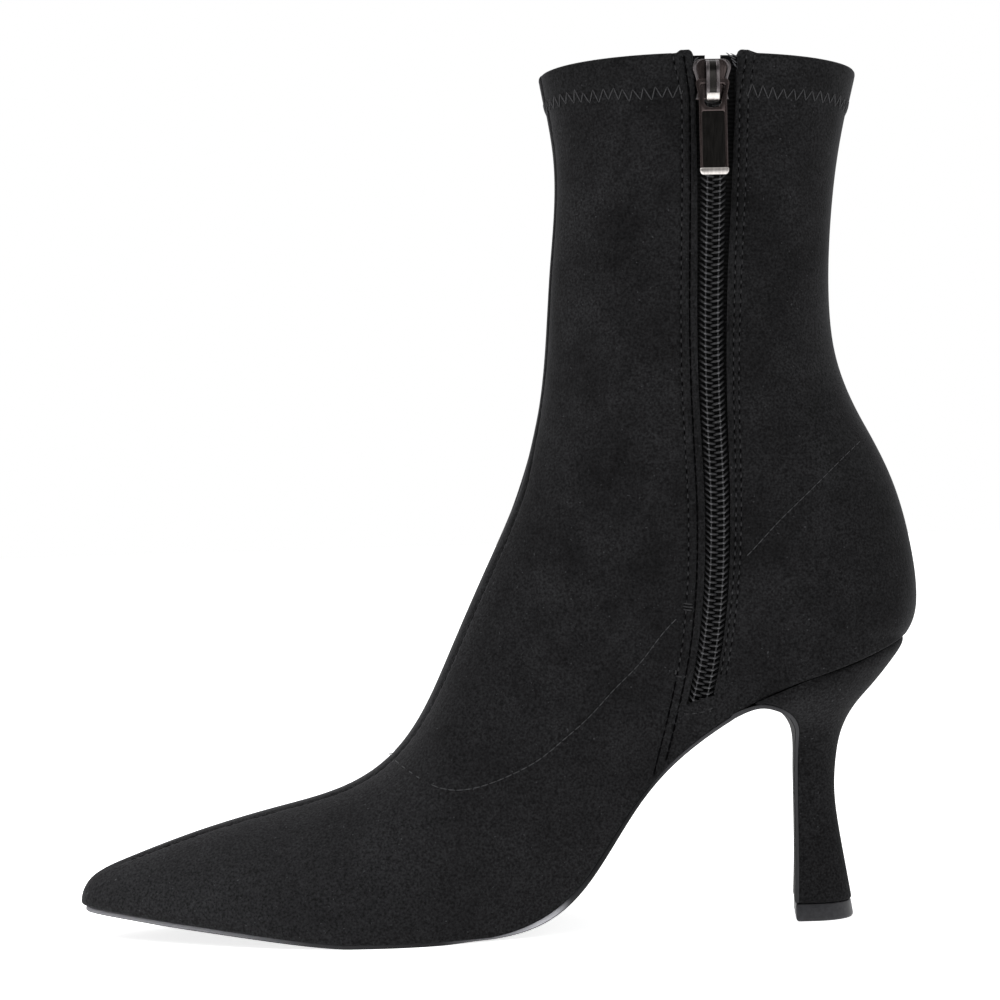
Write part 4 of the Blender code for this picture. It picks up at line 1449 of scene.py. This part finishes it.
def set_in(piece, place):
    """Puts a piece in its place with its object left at the origin, and shades it."""
    pick(piece)
    piece.matrix_world = place
    bpy.ops.object.transform_apply(location=True, rotation=True, scale=True)
    bpy.ops.object.shade_smooth_by_angle(angle=METAL_SMOOTH)
    return piece


def bar(name, line, half, across=0.0, lift=0.0, bevel=METAL_BEVEL):
    """A bent bar of flat section along a line of (out, z), with rounded edges."""
    line = smooth_curve(line, samples=40) + (lift, 0)
    way = unit(np.gradient(line, axis=0))
    aside = np.stack([way[:, 1], -way[:, 0]], axis=1) * BRIDGE_THICKNESS / 2
    piece = plate(name, np.concatenate([line + aside, (line - aside)[::-1]]), -half, half, 0)
    pick(piece)
    piece.rotation_euler = (0, 0, math.radians(-90))
    piece.location = (across, 0, 0)
    bpy.ops.object.transform_apply(location=True, rotation=True, scale=False)
    rounded_edges(piece, bevel)
    return piece


def make_slider(place):
    """Slider: two plates on a neck, then the rims of its wings and bridge, the bridge itself and its cap."""
    half = smooth_curve(PLATE_OUTLINE, samples=24)
    outline = mirrored(half)
    neck = rounded_rectangle(NECK_HALF, *NECK_ENDS, NECK_CORNER)
    parts = [
        plate("slider_plate", outline, *PLATE_OUT, METAL_BEVEL),
        plate("slider_under", outline * UNDER_PLATE_SCALE, *UNDER_PLATE_OUT, METAL_BEVEL),
        plate("slider_neck", neck, *NECK_OUT, 0),
    ]
    bridge = bar("zip_slider_bridge", BRIDGE_LINE, BRIDGE_HALF)
    rims = []
    for side in (-1, 1):
        wing = np.concatenate([half * (side, 1), (half * (side * WING_INSIDE[0], WING_INSIDE[1]))[::-1]])
        rims.append(plate(f"slider_wing_{side}", wing, *WING_OUT, METAL_BEVEL))
        ridge_at = side * (BRIDGE_HALF - RIDGE_HALF)
        rims.append(bar(f"slider_ridge_{side}", BRIDGE_LINE, RIDGE_HALF, ridge_at, RIDGE_LIFT))
    cap = bar("zip_slider_cap", CAP_LINE, CAP_HALF, bevel=CAP_BEVEL)
    made = joined("zip_slider_body", *parts), joined("zip_slider_rims", *rims), bridge, cap
    return [set_in(piece, place) for piece in made]


def make_pull(place):
    """The pull tab, hanging plumb: a plate with a window for the bridge, its panel, painted dark as shade
    and reflection, and its lip, painted bright as a highlight.
    """
    up = place.to_3x3().col[2]
    plumb = Matrix.Rotation(math.atan2(up.y, up.z), 4, "X")
    hang = place @ Matrix.Translation(PIVOT) @ plumb
    half_thick = TAB_THICKNESS / 2
    body = plate("pull_tab_plate", mirrored(in_metres(TAB_SIDE)), -half_thick, half_thick, 0)
    window = mirrored(in_metres(WINDOW_SIDE))
    panel = rounded_rectangle(PANEL_HALF, *PANEL_ENDS, PANEL_CORNER)
    floor_at = half_thick - PANEL_DEPTH
    for cutter in (
        plate("pull_window", window, -2 * half_thick, 2 * half_thick, 0),
        plate("pull_recess", panel, floor_at, 2 * half_thick, 0),
    ):
        finish_with(body, "BOOLEAN", object=cutter, operation="DIFFERENCE", solver="EXACT")
        bpy.data.objects.remove(cutter, do_unlink=True)
    rounded_edges(body, METAL_BEVEL)
    inlay = plate("pull_tab_panel", panel, floor_at - PANEL_THICKNESS, floor_at + PANEL_THICKNESS, 0)
    lip = plate("pull_tab_lip", mirrored(in_metres(LIP_SIDE)), *LIP_OUT, LIP_BEVEL)
    return [set_in(piece, hang) for piece in (body, inlay, lip)]


# Stitches


def sewn(upper, name, line, side, pitch, span, thickness, lift):
    """Stitches along a line seen from the side, over a span of each pitch, laid on the suede."""
    places = pitch * np.arange(int(lengths(line)[-1] / pitch))
    ends = []
    for share in span:
        points, normals = on_side(*at_length(line, places + share * pitch).T, side)
        ends.append(landed(upper, points, normals, lift))
    return threads(name, *ends, normals, thickness)


def zip_stitches(upper):
    """Beads of thread beside the zip, and black dashes between them, painted shade for the needle holes.
    Below it only these dashes show, as painted shade of the sunk rows.
    """
    beads, holes = [], []
    for index, row in enumerate(ZIP_ROWS):
        line = zip_row_line(row)
        low = lengths(line) > ROWS_DARKEN - ROW_STARTS
        long_holes = line if index == BARE_ROW else line[low]
        if index != BARE_ROW:
            span = (upper, f"beads_{index}", line[~low], INNER, ROW_PITCH)
            beads.append(sewn(*span, BEAD_SPAN, BEAD_THICKNESS, BEAD_LIFT))
            holes.append(sewn(*span, HOLE_SPAN, HOLE_THICKNESS, HOLE_LIFT))
        if row[4] * MM > SLOT_END:
            span = (upper, f"long_holes_{index}", long_holes, INNER, ROW_PITCH)
            holes.append(sewn(*span, LONG_HOLE_SPAN, LONG_HOLE_THICKNESS, HOLE_LIFT))
    *runs, normals = zip_runs(*in_metres(END_STITCHES).T)
    runs = [landed(upper, run, normals, END_LIFT) for run in runs]
    beads.append(threads("end_stitches", *runs, normals, BEAD_THICKNESS))
    return joined("zip_stitches", *beads), joined("zip_needle_holes", *holes)


def lining_stitches(upper):
    line = lining_line()
    front, back = LINING_SEAM_BREAK
    runs = (
        (line, OUTER, LINING_SPAN),
        (line[line[:, 0] < LINING_DOTS_END], INNER, DOT_SPAN),
        (line[(line[:, 0] > LINING_DOTS_END) & (line[:, 0] < front)], INNER, LINING_SPAN),
        (line[line[:, 0] > back], INNER, LINING_SPAN),
    )
    pieces = []
    for index, (part, side, span) in enumerate(runs):
        row = (upper, f"lining_row_{index}", part, side, LINING_PITCH)
        pieces.append(sewn(*row, span, LINING_THREAD, LINING_LIFT))
    return joined("lining_stitches", *pieces)


def seam_stitches(points, normal, to_seam):
    """Stitches in the grooves on both sides of the front, read off the sheet itself, black as painted shade
    in the grooves.
    """
    middle = REAR_COLUMNS + OUTER_COLUMNS
    rows = np.arange(len(points))
    starts, ends, normals = [], [], []
    for way in (-1, 1):
        columns = middle + way * np.arange(SEAM_COLUMNS)
        picked = [columns[np.searchsorted(row[columns], SEAM_ROW)] for row in to_seam]
        line, up = points[rows, picked], normal[rows, picked]
        distance = np.arange(SEAM_STARTS[1], lengths(line)[-1] - SEAM_STOPS, ROW_PITCH)
        starts.append(at_length(line, distance))
        ends.append(at_length(line, distance + SEAM_SPAN * ROW_PITCH))
        normals.append(along_line(line, up, distance))
    runs = (np.concatenate(part) for part in (starts, ends, normals))
    return threads("seam_stitches", *runs, SEAM_THREAD)


def hem_stitches(points, normal, to_rim):
    """Zigzag that holds the turned hem, all round below the rim and up to the zip's facings."""
    columns = np.arange(points.shape[1])
    to_hem = to_rim[::-1] + read(HEM_NARROWS, points[-1, :, 0])
    lines = []
    for depth in HEM_HEIGHT:
        row = RING_ROWS - 1 - np.array([np.searchsorted(column, depth) for column in to_hem.T])
        lines.append((points[row, columns], normal[row, columns]))
    (high, up), (low, _) = lines
    distance = np.arange(HEM_STARTS, lengths(high)[-1] - HEM_STARTS, HEM_PITCH)
    count = np.arange(len(distance))
    distance += HEM_SWAY * np.sin(HEM_SWAY_RATE * count)
    share = np.where(count % 2 == 0, *HEM_TURNS) + HEM_REACH * np.sin(HEM_REACH_RATE * count)
    top, bottom, up = (along_line(high, values, distance) for values in (high, low, up))
    zigzag = top + share[:, None] * (bottom - top) + HEM_LIFT * up
    return threads("hem_zigzag", zigzag[:-1], zigzag[1:], up[:-1], HEM_THREAD)


# Materials


def new_material(name, colour, roughness, metallic=0.0, **sockets):
    material = bpy.data.materials.new(name)
    material.use_nodes = True
    shader = material.node_tree.nodes["Principled BSDF"]
    shader.inputs["Base Color"].default_value = (*colour, 1)
    shader.inputs["Roughness"].default_value = roughness
    shader.inputs["Metallic"].default_value = metallic
    for socket, value in sockets.items():
        shader.inputs[socket.replace("_", " ")].default_value = value
    return material, shader


def node(owner, kind, inputs=None, **settings):
    """Adds a node, sets its properties, and sets or links its inputs."""
    made = owner.node_tree.nodes.new(kind)
    for key, value in settings.items():
        setattr(made, key, value)
    for key, value in (inputs or {}).items():
        if isinstance(value, bpy.types.NodeSocket):
            owner.node_tree.links.new(value, made.inputs[key])
        else:
            made.inputs[key].default_value = value
    return made


def object_place(material):
    return node(material, "ShaderNodeTexCoord").outputs["Object"]


def share_along(material, axis, reach):
    """Share of the way along an axis of the object's own coordinates."""
    place = node(material, "ShaderNodeSeparateXYZ", {"Vector": object_place(material)}).outputs[axis]
    return node(material, "ShaderNodeMapRange", {"Value": place, **reach}).outputs["Result"]


def object_noise(material, scale, detail=2.0, roughness=0.5, stretch=None):
    """Noise over the object's own coordinates, in grains to the metre."""
    place = object_place(material)
    if stretch:
        place = node(material, "ShaderNodeMapping", {"Vector": place, "Scale": stretch}).outputs["Vector"]
    inputs = {"Vector": place, "Scale": scale, "Detail": detail, "Roughness": roughness}
    return node(material, "ShaderNodeTexNoise", inputs).outputs["Fac"]


def ramp(owner, factor, stops):
    """Colours between stops of (place, colour)."""
    made = node(owner, "ShaderNodeValToRGB", {"Fac": factor})
    elements = made.color_ramp.elements
    while len(elements) < len(stops):
        elements.new(0.5)
    for element, (place, colour) in zip(elements, stops):
        element.position = place
        element.color = (*colour, 1)
    return made.outputs["Color"]


def grey(value, tint=1.06):
    """A neutral, slightly cool unless it is given another tint."""
    return (value, value, value * tint)


def mix_colour(owner, factor, first, second, blend="MIX"):
    made = node(owner, "ShaderNodeMix", data_type="RGBA", blend_type=blend)
    for socket, value in ((made.inputs[0], factor), (made.inputs[6], first), (made.inputs[7], second)):
        if isinstance(value, bpy.types.NodeSocket):
            link(owner, value, socket)
        else:
            socket.default_value = value
    return made.outputs[2]


def link(owner, output, socket):
    owner.node_tree.links.new(output, socket)


def toned(material, shader, factor, *stops):
    """Colours the surface between stops of (place, colour)."""
    link(material, ramp(material, factor, stops), shader.inputs["Base Color"])


def bumped(material, shader, height, strength, distance):
    made = node(material, "ShaderNodeBump", {"Height": height, "Strength": strength, "Distance": distance})
    link(material, made.outputs["Normal"], shader.inputs["Normal"])


def roughened(material, shader, factor, low, high):
    spread = node(material, "ShaderNodeMapRange", {"Value": factor, "To Min": low, "To Max": high})
    link(material, spread.outputs["Result"], shader.inputs["Roughness"])


def suede_material(name, sheen):
    """Short nap: mottled by its fibres, brushed lighter and darker in patches, with rare pale hairs. The
    patches are painted deeper up the shaft than on the vamp, as shade.
    """
    sockets = {"Specular_IOR_Level": 0.1, "Sheen_Weight": sheen, "Sheen_Roughness": 0.35}
    material, shader = new_material(name, grey(0.012), 0.95, **sockets)
    shader.inputs["Sheen Tint"].default_value = (0.55, 0.55, 0.58, 1)
    fibres = object_noise(material, 1450, 3, 0.6)
    patches = object_noise(material, 55, 4, 0.62)
    hairs = object_noise(material, 1500, 0, 0.4)
    nap = ramp(material, fibres, ((0.35, grey(0.0043)), (0.67, grey(0.0216))))
    brushed = ramp(material, patches, ((0.32, (0.42, 0.42, 0.42)), (0.66, (1.0, 1.0, 1.0))))
    # Painted shade: the patches count fully on the shaft and only half on the vamp
    share = share_along(material, "Z", PATCHES_PAINTED_SHADE)
    colour = mix_colour(material, share, nap, brushed, "MULTIPLY")
    specks = ramp(material, hairs, ((0.81, (0, 0, 0)), (0.88, grey(0.03))))
    link(material, mix_colour(material, 1.0, colour, specks, "ADD"), shader.inputs["Base Color"])
    bumped(material, shader, fibres, 0.5, 0.25 * MM)
    return material


def cloth_material(name, dark, light, scale, strength):
    """Plain woven or brushed cloth."""
    material, shader = new_material(name, light, 0.9, Specular_IOR_Level=0.2, Sheen_Weight=0.15)
    grain = object_noise(material, scale, 3, 0.6)
    toned(material, shader, grain, (0.3, dark), (0.7, light))
    bumped(material, shader, grain, strength, 0.2 * MM)
    return material


def tape_material():
    """Woven zip tape: fine ribs across the run of the zip."""
    material, shader = new_material("zip_tape", grey(0.005), 0.85, Specular_IOR_Level=0.1)
    waves = {"Vector": object_place(material), "Scale": 260.0, "Distortion": 0.6}
    ribs = node(material, "ShaderNodeTexWave", waves, bands_direction="Z").outputs["Fac"]
    toned(material, shader, ribs, (0.2, grey(0.002)), (0.8, grey(0.008)))
    bumped(material, shader, ribs, 0.5, 0.15 * MM)
    return material


def thread_material(name, dark, light, roughness, gloss):
    """Twisted thread with a slight gloss."""
    material, shader = new_material(name, grey(light), roughness, Specular_IOR_Level=gloss)
    twist = object_noise(material, 2600, 2, 0.5)
    toned(material, shader, twist, (0.3, grey(dark)), (0.7, grey(light)))
    bumped(material, shader, twist, 0.35, 0.1 * MM)
    return material


def sole_material():
    """Smooth tread and breast, satin, with faint scuffs."""
    material, shader = new_material("sole", grey(0.02), 0.65, Specular_IOR_Level=0.04)
    scuffs = object_noise(material, 160, 4, 0.65, stretch=(0.3, 1, 1))
    toned(material, shader, scuffs, (0.3, grey(0.012)), (0.75, grey(0.025)))
    roughened(material, shader, scuffs, 0.55, 0.75)
    bumped(material, shader, object_noise(material, 700, 2), 0.12, 0.1 * MM)
    return material


def edge_material():
    """Painted sole edge, dark, with painted highlights that make it pale at the toe and behind the ball,
    standing for the floor's reflection.
    """
    material, shader = new_material("sole_edge", grey(0.014), 0.5, Specular_IOR_Level=0.1)
    ends = {"From Min": STAND[0], "From Max": STAND[0] + EDGE_PAINT_ENDS}
    stops = [(x * MM / EDGE_PAINT_ENDS, grey(value)) for x, value in EDGE_PAINT_AND_HIGHLIGHTS]
    toned(material, shader, share_along(material, "X", ends), *stops)
    bumped(material, shader, object_noise(material, 700, 2), 0.12, 0.1 * MM)
    return material


def tip_material():
    """Hard plastic with a satin skin."""
    material, shader = new_material("tip_plastic", grey(0.025), 0.4, Specular_IOR_Level=0.25)
    grain = object_noise(material, 900, 2)
    toned(material, shader, grain, (0.3, grey(0.019, 1.12)), (0.7, grey(0.032, 1.12)))
    roughened(material, shader, grain, 0.34, 0.5)
    bumped(material, shader, grain, 0.1, 0.1 * MM)
    return material


def metal_material(name, dark, light, roughness):
    """Plated metal with fine upright brushing."""
    material, shader = new_material(name, light, roughness, 1.0)
    brushing = object_noise(material, 1500, 3, 0.6, stretch=(1, 1, 0.12))
    toned(material, shader, brushing, (0.3, dark), (0.7, light))
    roughened(material, shader, brushing, 0.7 * roughness, 1.3 * roughness)
    bumped(material, shader, brushing, 0.06, 0.05 * MM)
    return material


def wear(piece, material, slot, *nodes, body="boot"):
    """Gives a piece its material, the body that it rides on and the nodes that it stands for. The slot is
    not used.
    """
    piece.data.materials.clear()
    piece.data.materials.append(material)
    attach(piece, body)
    if nodes:
        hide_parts(*nodes)


# Floor, light and camera


def make_floor():
    """A pale floor, bright enough to melt into the backdrop."""
    deselect()
    bpy.ops.mesh.primitive_plane_add(size=FLOOR_SIZE, location=(0, 0, 0))
    floor = named("floor_sweep")
    sockets = {"Specular_IOR_Level": 0.0, "Emission_Strength": FLOOR_GLOW}
    material, shader = new_material("floor_paper", (0.9, 0.9, 0.9), 0.95, **sockets)
    shader.inputs["Emission Color"].default_value = (1, 1, 1, 1)
    floor.data.materials.append(material)


def area_light(name, place, target, size, power, spread):
    deselect()
    bpy.ops.object.light_add(type="AREA", location=place)
    light = named(name)
    light.rotation_euler = (Vector(target) - Vector(place)).to_track_quat("-Z", "Y").to_euler()
    light.data.size = size
    light.data.energy = power
    light.data.spread = math.radians(spread)


def make_light():
    """A white tent, dark behind the camera, which sees it plain white, and the softboxes."""
    world = bpy.data.worlds.new("studio")
    bpy.context.scene.world = world
    world.use_nodes = True
    background = world.node_tree.nodes["Background"]
    towards = node(world, "ShaderNodeTexCoord").outputs["Generated"]
    across = {0: towards, 1: TENT_WAY}
    depth = node(world, "ShaderNodeVectorMath", across, operation="DOT_PRODUCT").outputs["Value"]
    reach = {"Value": depth, "From Min": -1.0, "From Max": 1.0}
    share = node(world, "ShaderNodeMapRange", reach).outputs["Result"]
    shades = ramp(world, share, [(place, grey(value, 1)) for place, value in TENT_SHADES])
    seen = node(world, "ShaderNodeLightPath").outputs["Is Camera Ray"]
    link(world, mix_colour(world, seen, shades, (1, 1, 1, 1)), background.inputs["Color"])
    for name, setting in SOFTBOXES.items():
        area_light(name, *setting)
    bpy.context.scene.view_settings.view_transform = "Standard"


def make_camera():
    deselect()
    bpy.ops.object.camera_add(location=CAMERA_PLACE)
    camera = named("camera")
    level = Matrix.Translation(CAMERA_PLACE) @ Matrix.Rotation(math.radians(90), 4, "X")
    camera.matrix_world = level @ Matrix.Rotation(CAMERA_ROLL, 4, "Z")
    camera.data.lens = CAMERA_LENS
    camera.data.sensor_width = CAMERA_SENSOR
    bpy.context.scene.camera = camera


def dress_foot():
    """Upper, insole, sole and heel. Gives the suede and the sheet that it was laid from."""
    upper, lining, *sheet = make_upper()
    lining_cloth = cloth_material("lining_cloth", *LINING_TONES, 900, 0.3)
    wear(upper, suede_material("suede", 0.13), "suede", "upper")
    wear(lining, lining_cloth, "lining")
    wear(make_insole(), lining_cloth, "lining", "insole")
    sole, sole_edge = make_sole()
    wear(sole, sole_material(), "sole", "outsole")
    wear(sole_edge, edge_material(), "sole")
    wear(make_heel(), suede_material("heel_suede", 0.04), "suede", "heel")
    wear(make_heel_tip(), tip_material(), "heel_tip", "heel_tip")
    return upper, *sheet


def dress_zip(thread, metal):
    """Coils, tapes, slider and pull tab."""
    tape = tape_material()
    for side, name in ((-1, "front"), (1, "rear")):
        wear(make_coil(side, f"coil_{name}"), thread["coil_nylon"], "coil", f"zip_coil_{name}")
        # The knots are painted lighter, as highlights on the coil
        wear(make_coil_knots(side, f"coil_knots_{name}"), thread["coil_thread_highlight"], "coil")
        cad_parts[f"zip_tape_{name}"].material_slots[0].material = tape
    place = slider_frame()
    slider, rims, bridge, cap = make_slider(place)
    wear(slider, metal["tab_gunmetal"], "gunmetal", "zip_slider")
    # The bridge is painted dark as shade in its channel; the rims are painted lighter and the cap bright as
    # highlights
    wear(bridge, metal["painted_shade_gunmetal"], "gunmetal")
    wear(rims, metal["gunmetal"], "gunmetal")
    wear(cap, metal["painted_highlight_metal"], "gunmetal")
    tab, panel, lip = make_pull(place)
    wear(tab, metal["tab_gunmetal"], "gunmetal", "zip_pull_tab", body="pull")
    # The panel is painted dark as shade and reflection, and the lip bright as a highlight
    wear(panel, metal["painted_shade_gunmetal"], "gunmetal", body="pull")
    wear(lip, metal["painted_highlight_metal"], "gunmetal", body="pull")


def dress_stitches(thread, upper, points, normal, to_rim, to_seam):
    """All that is sewn into the suede, and the yarn at the tapes' ends."""
    beads, holes = zip_stitches(upper)
    wear(beads, thread["row_thread"], "suede")
    # The needle holes and the front seam's stitches are black dashes of painted shade
    wear(holes, thread["painted_hole_shade"], "suede")
    wear(make_frayed_yarn(), thread["frayed_yarn"], "tape")
    wear(lining_stitches(upper), thread["hem_thread"], "suede")
    wear(seam_stitches(points, normal, to_seam), thread["painted_hole_shade"], "suede")
    wear(hem_stitches(points, normal, to_rim), thread["hem_thread"], "suede")


def main():
    make_camera()
    thread = {name: thread_material(name, *look) for name, look in THREADS.items()}
    metal = {name: metal_material(name, *look) for name, look in METALS.items()}
    sheet = dress_foot()
    dress_zip(thread, metal)
    dress_stitches(thread, *sheet)
    make_floor()
    make_light()


main()
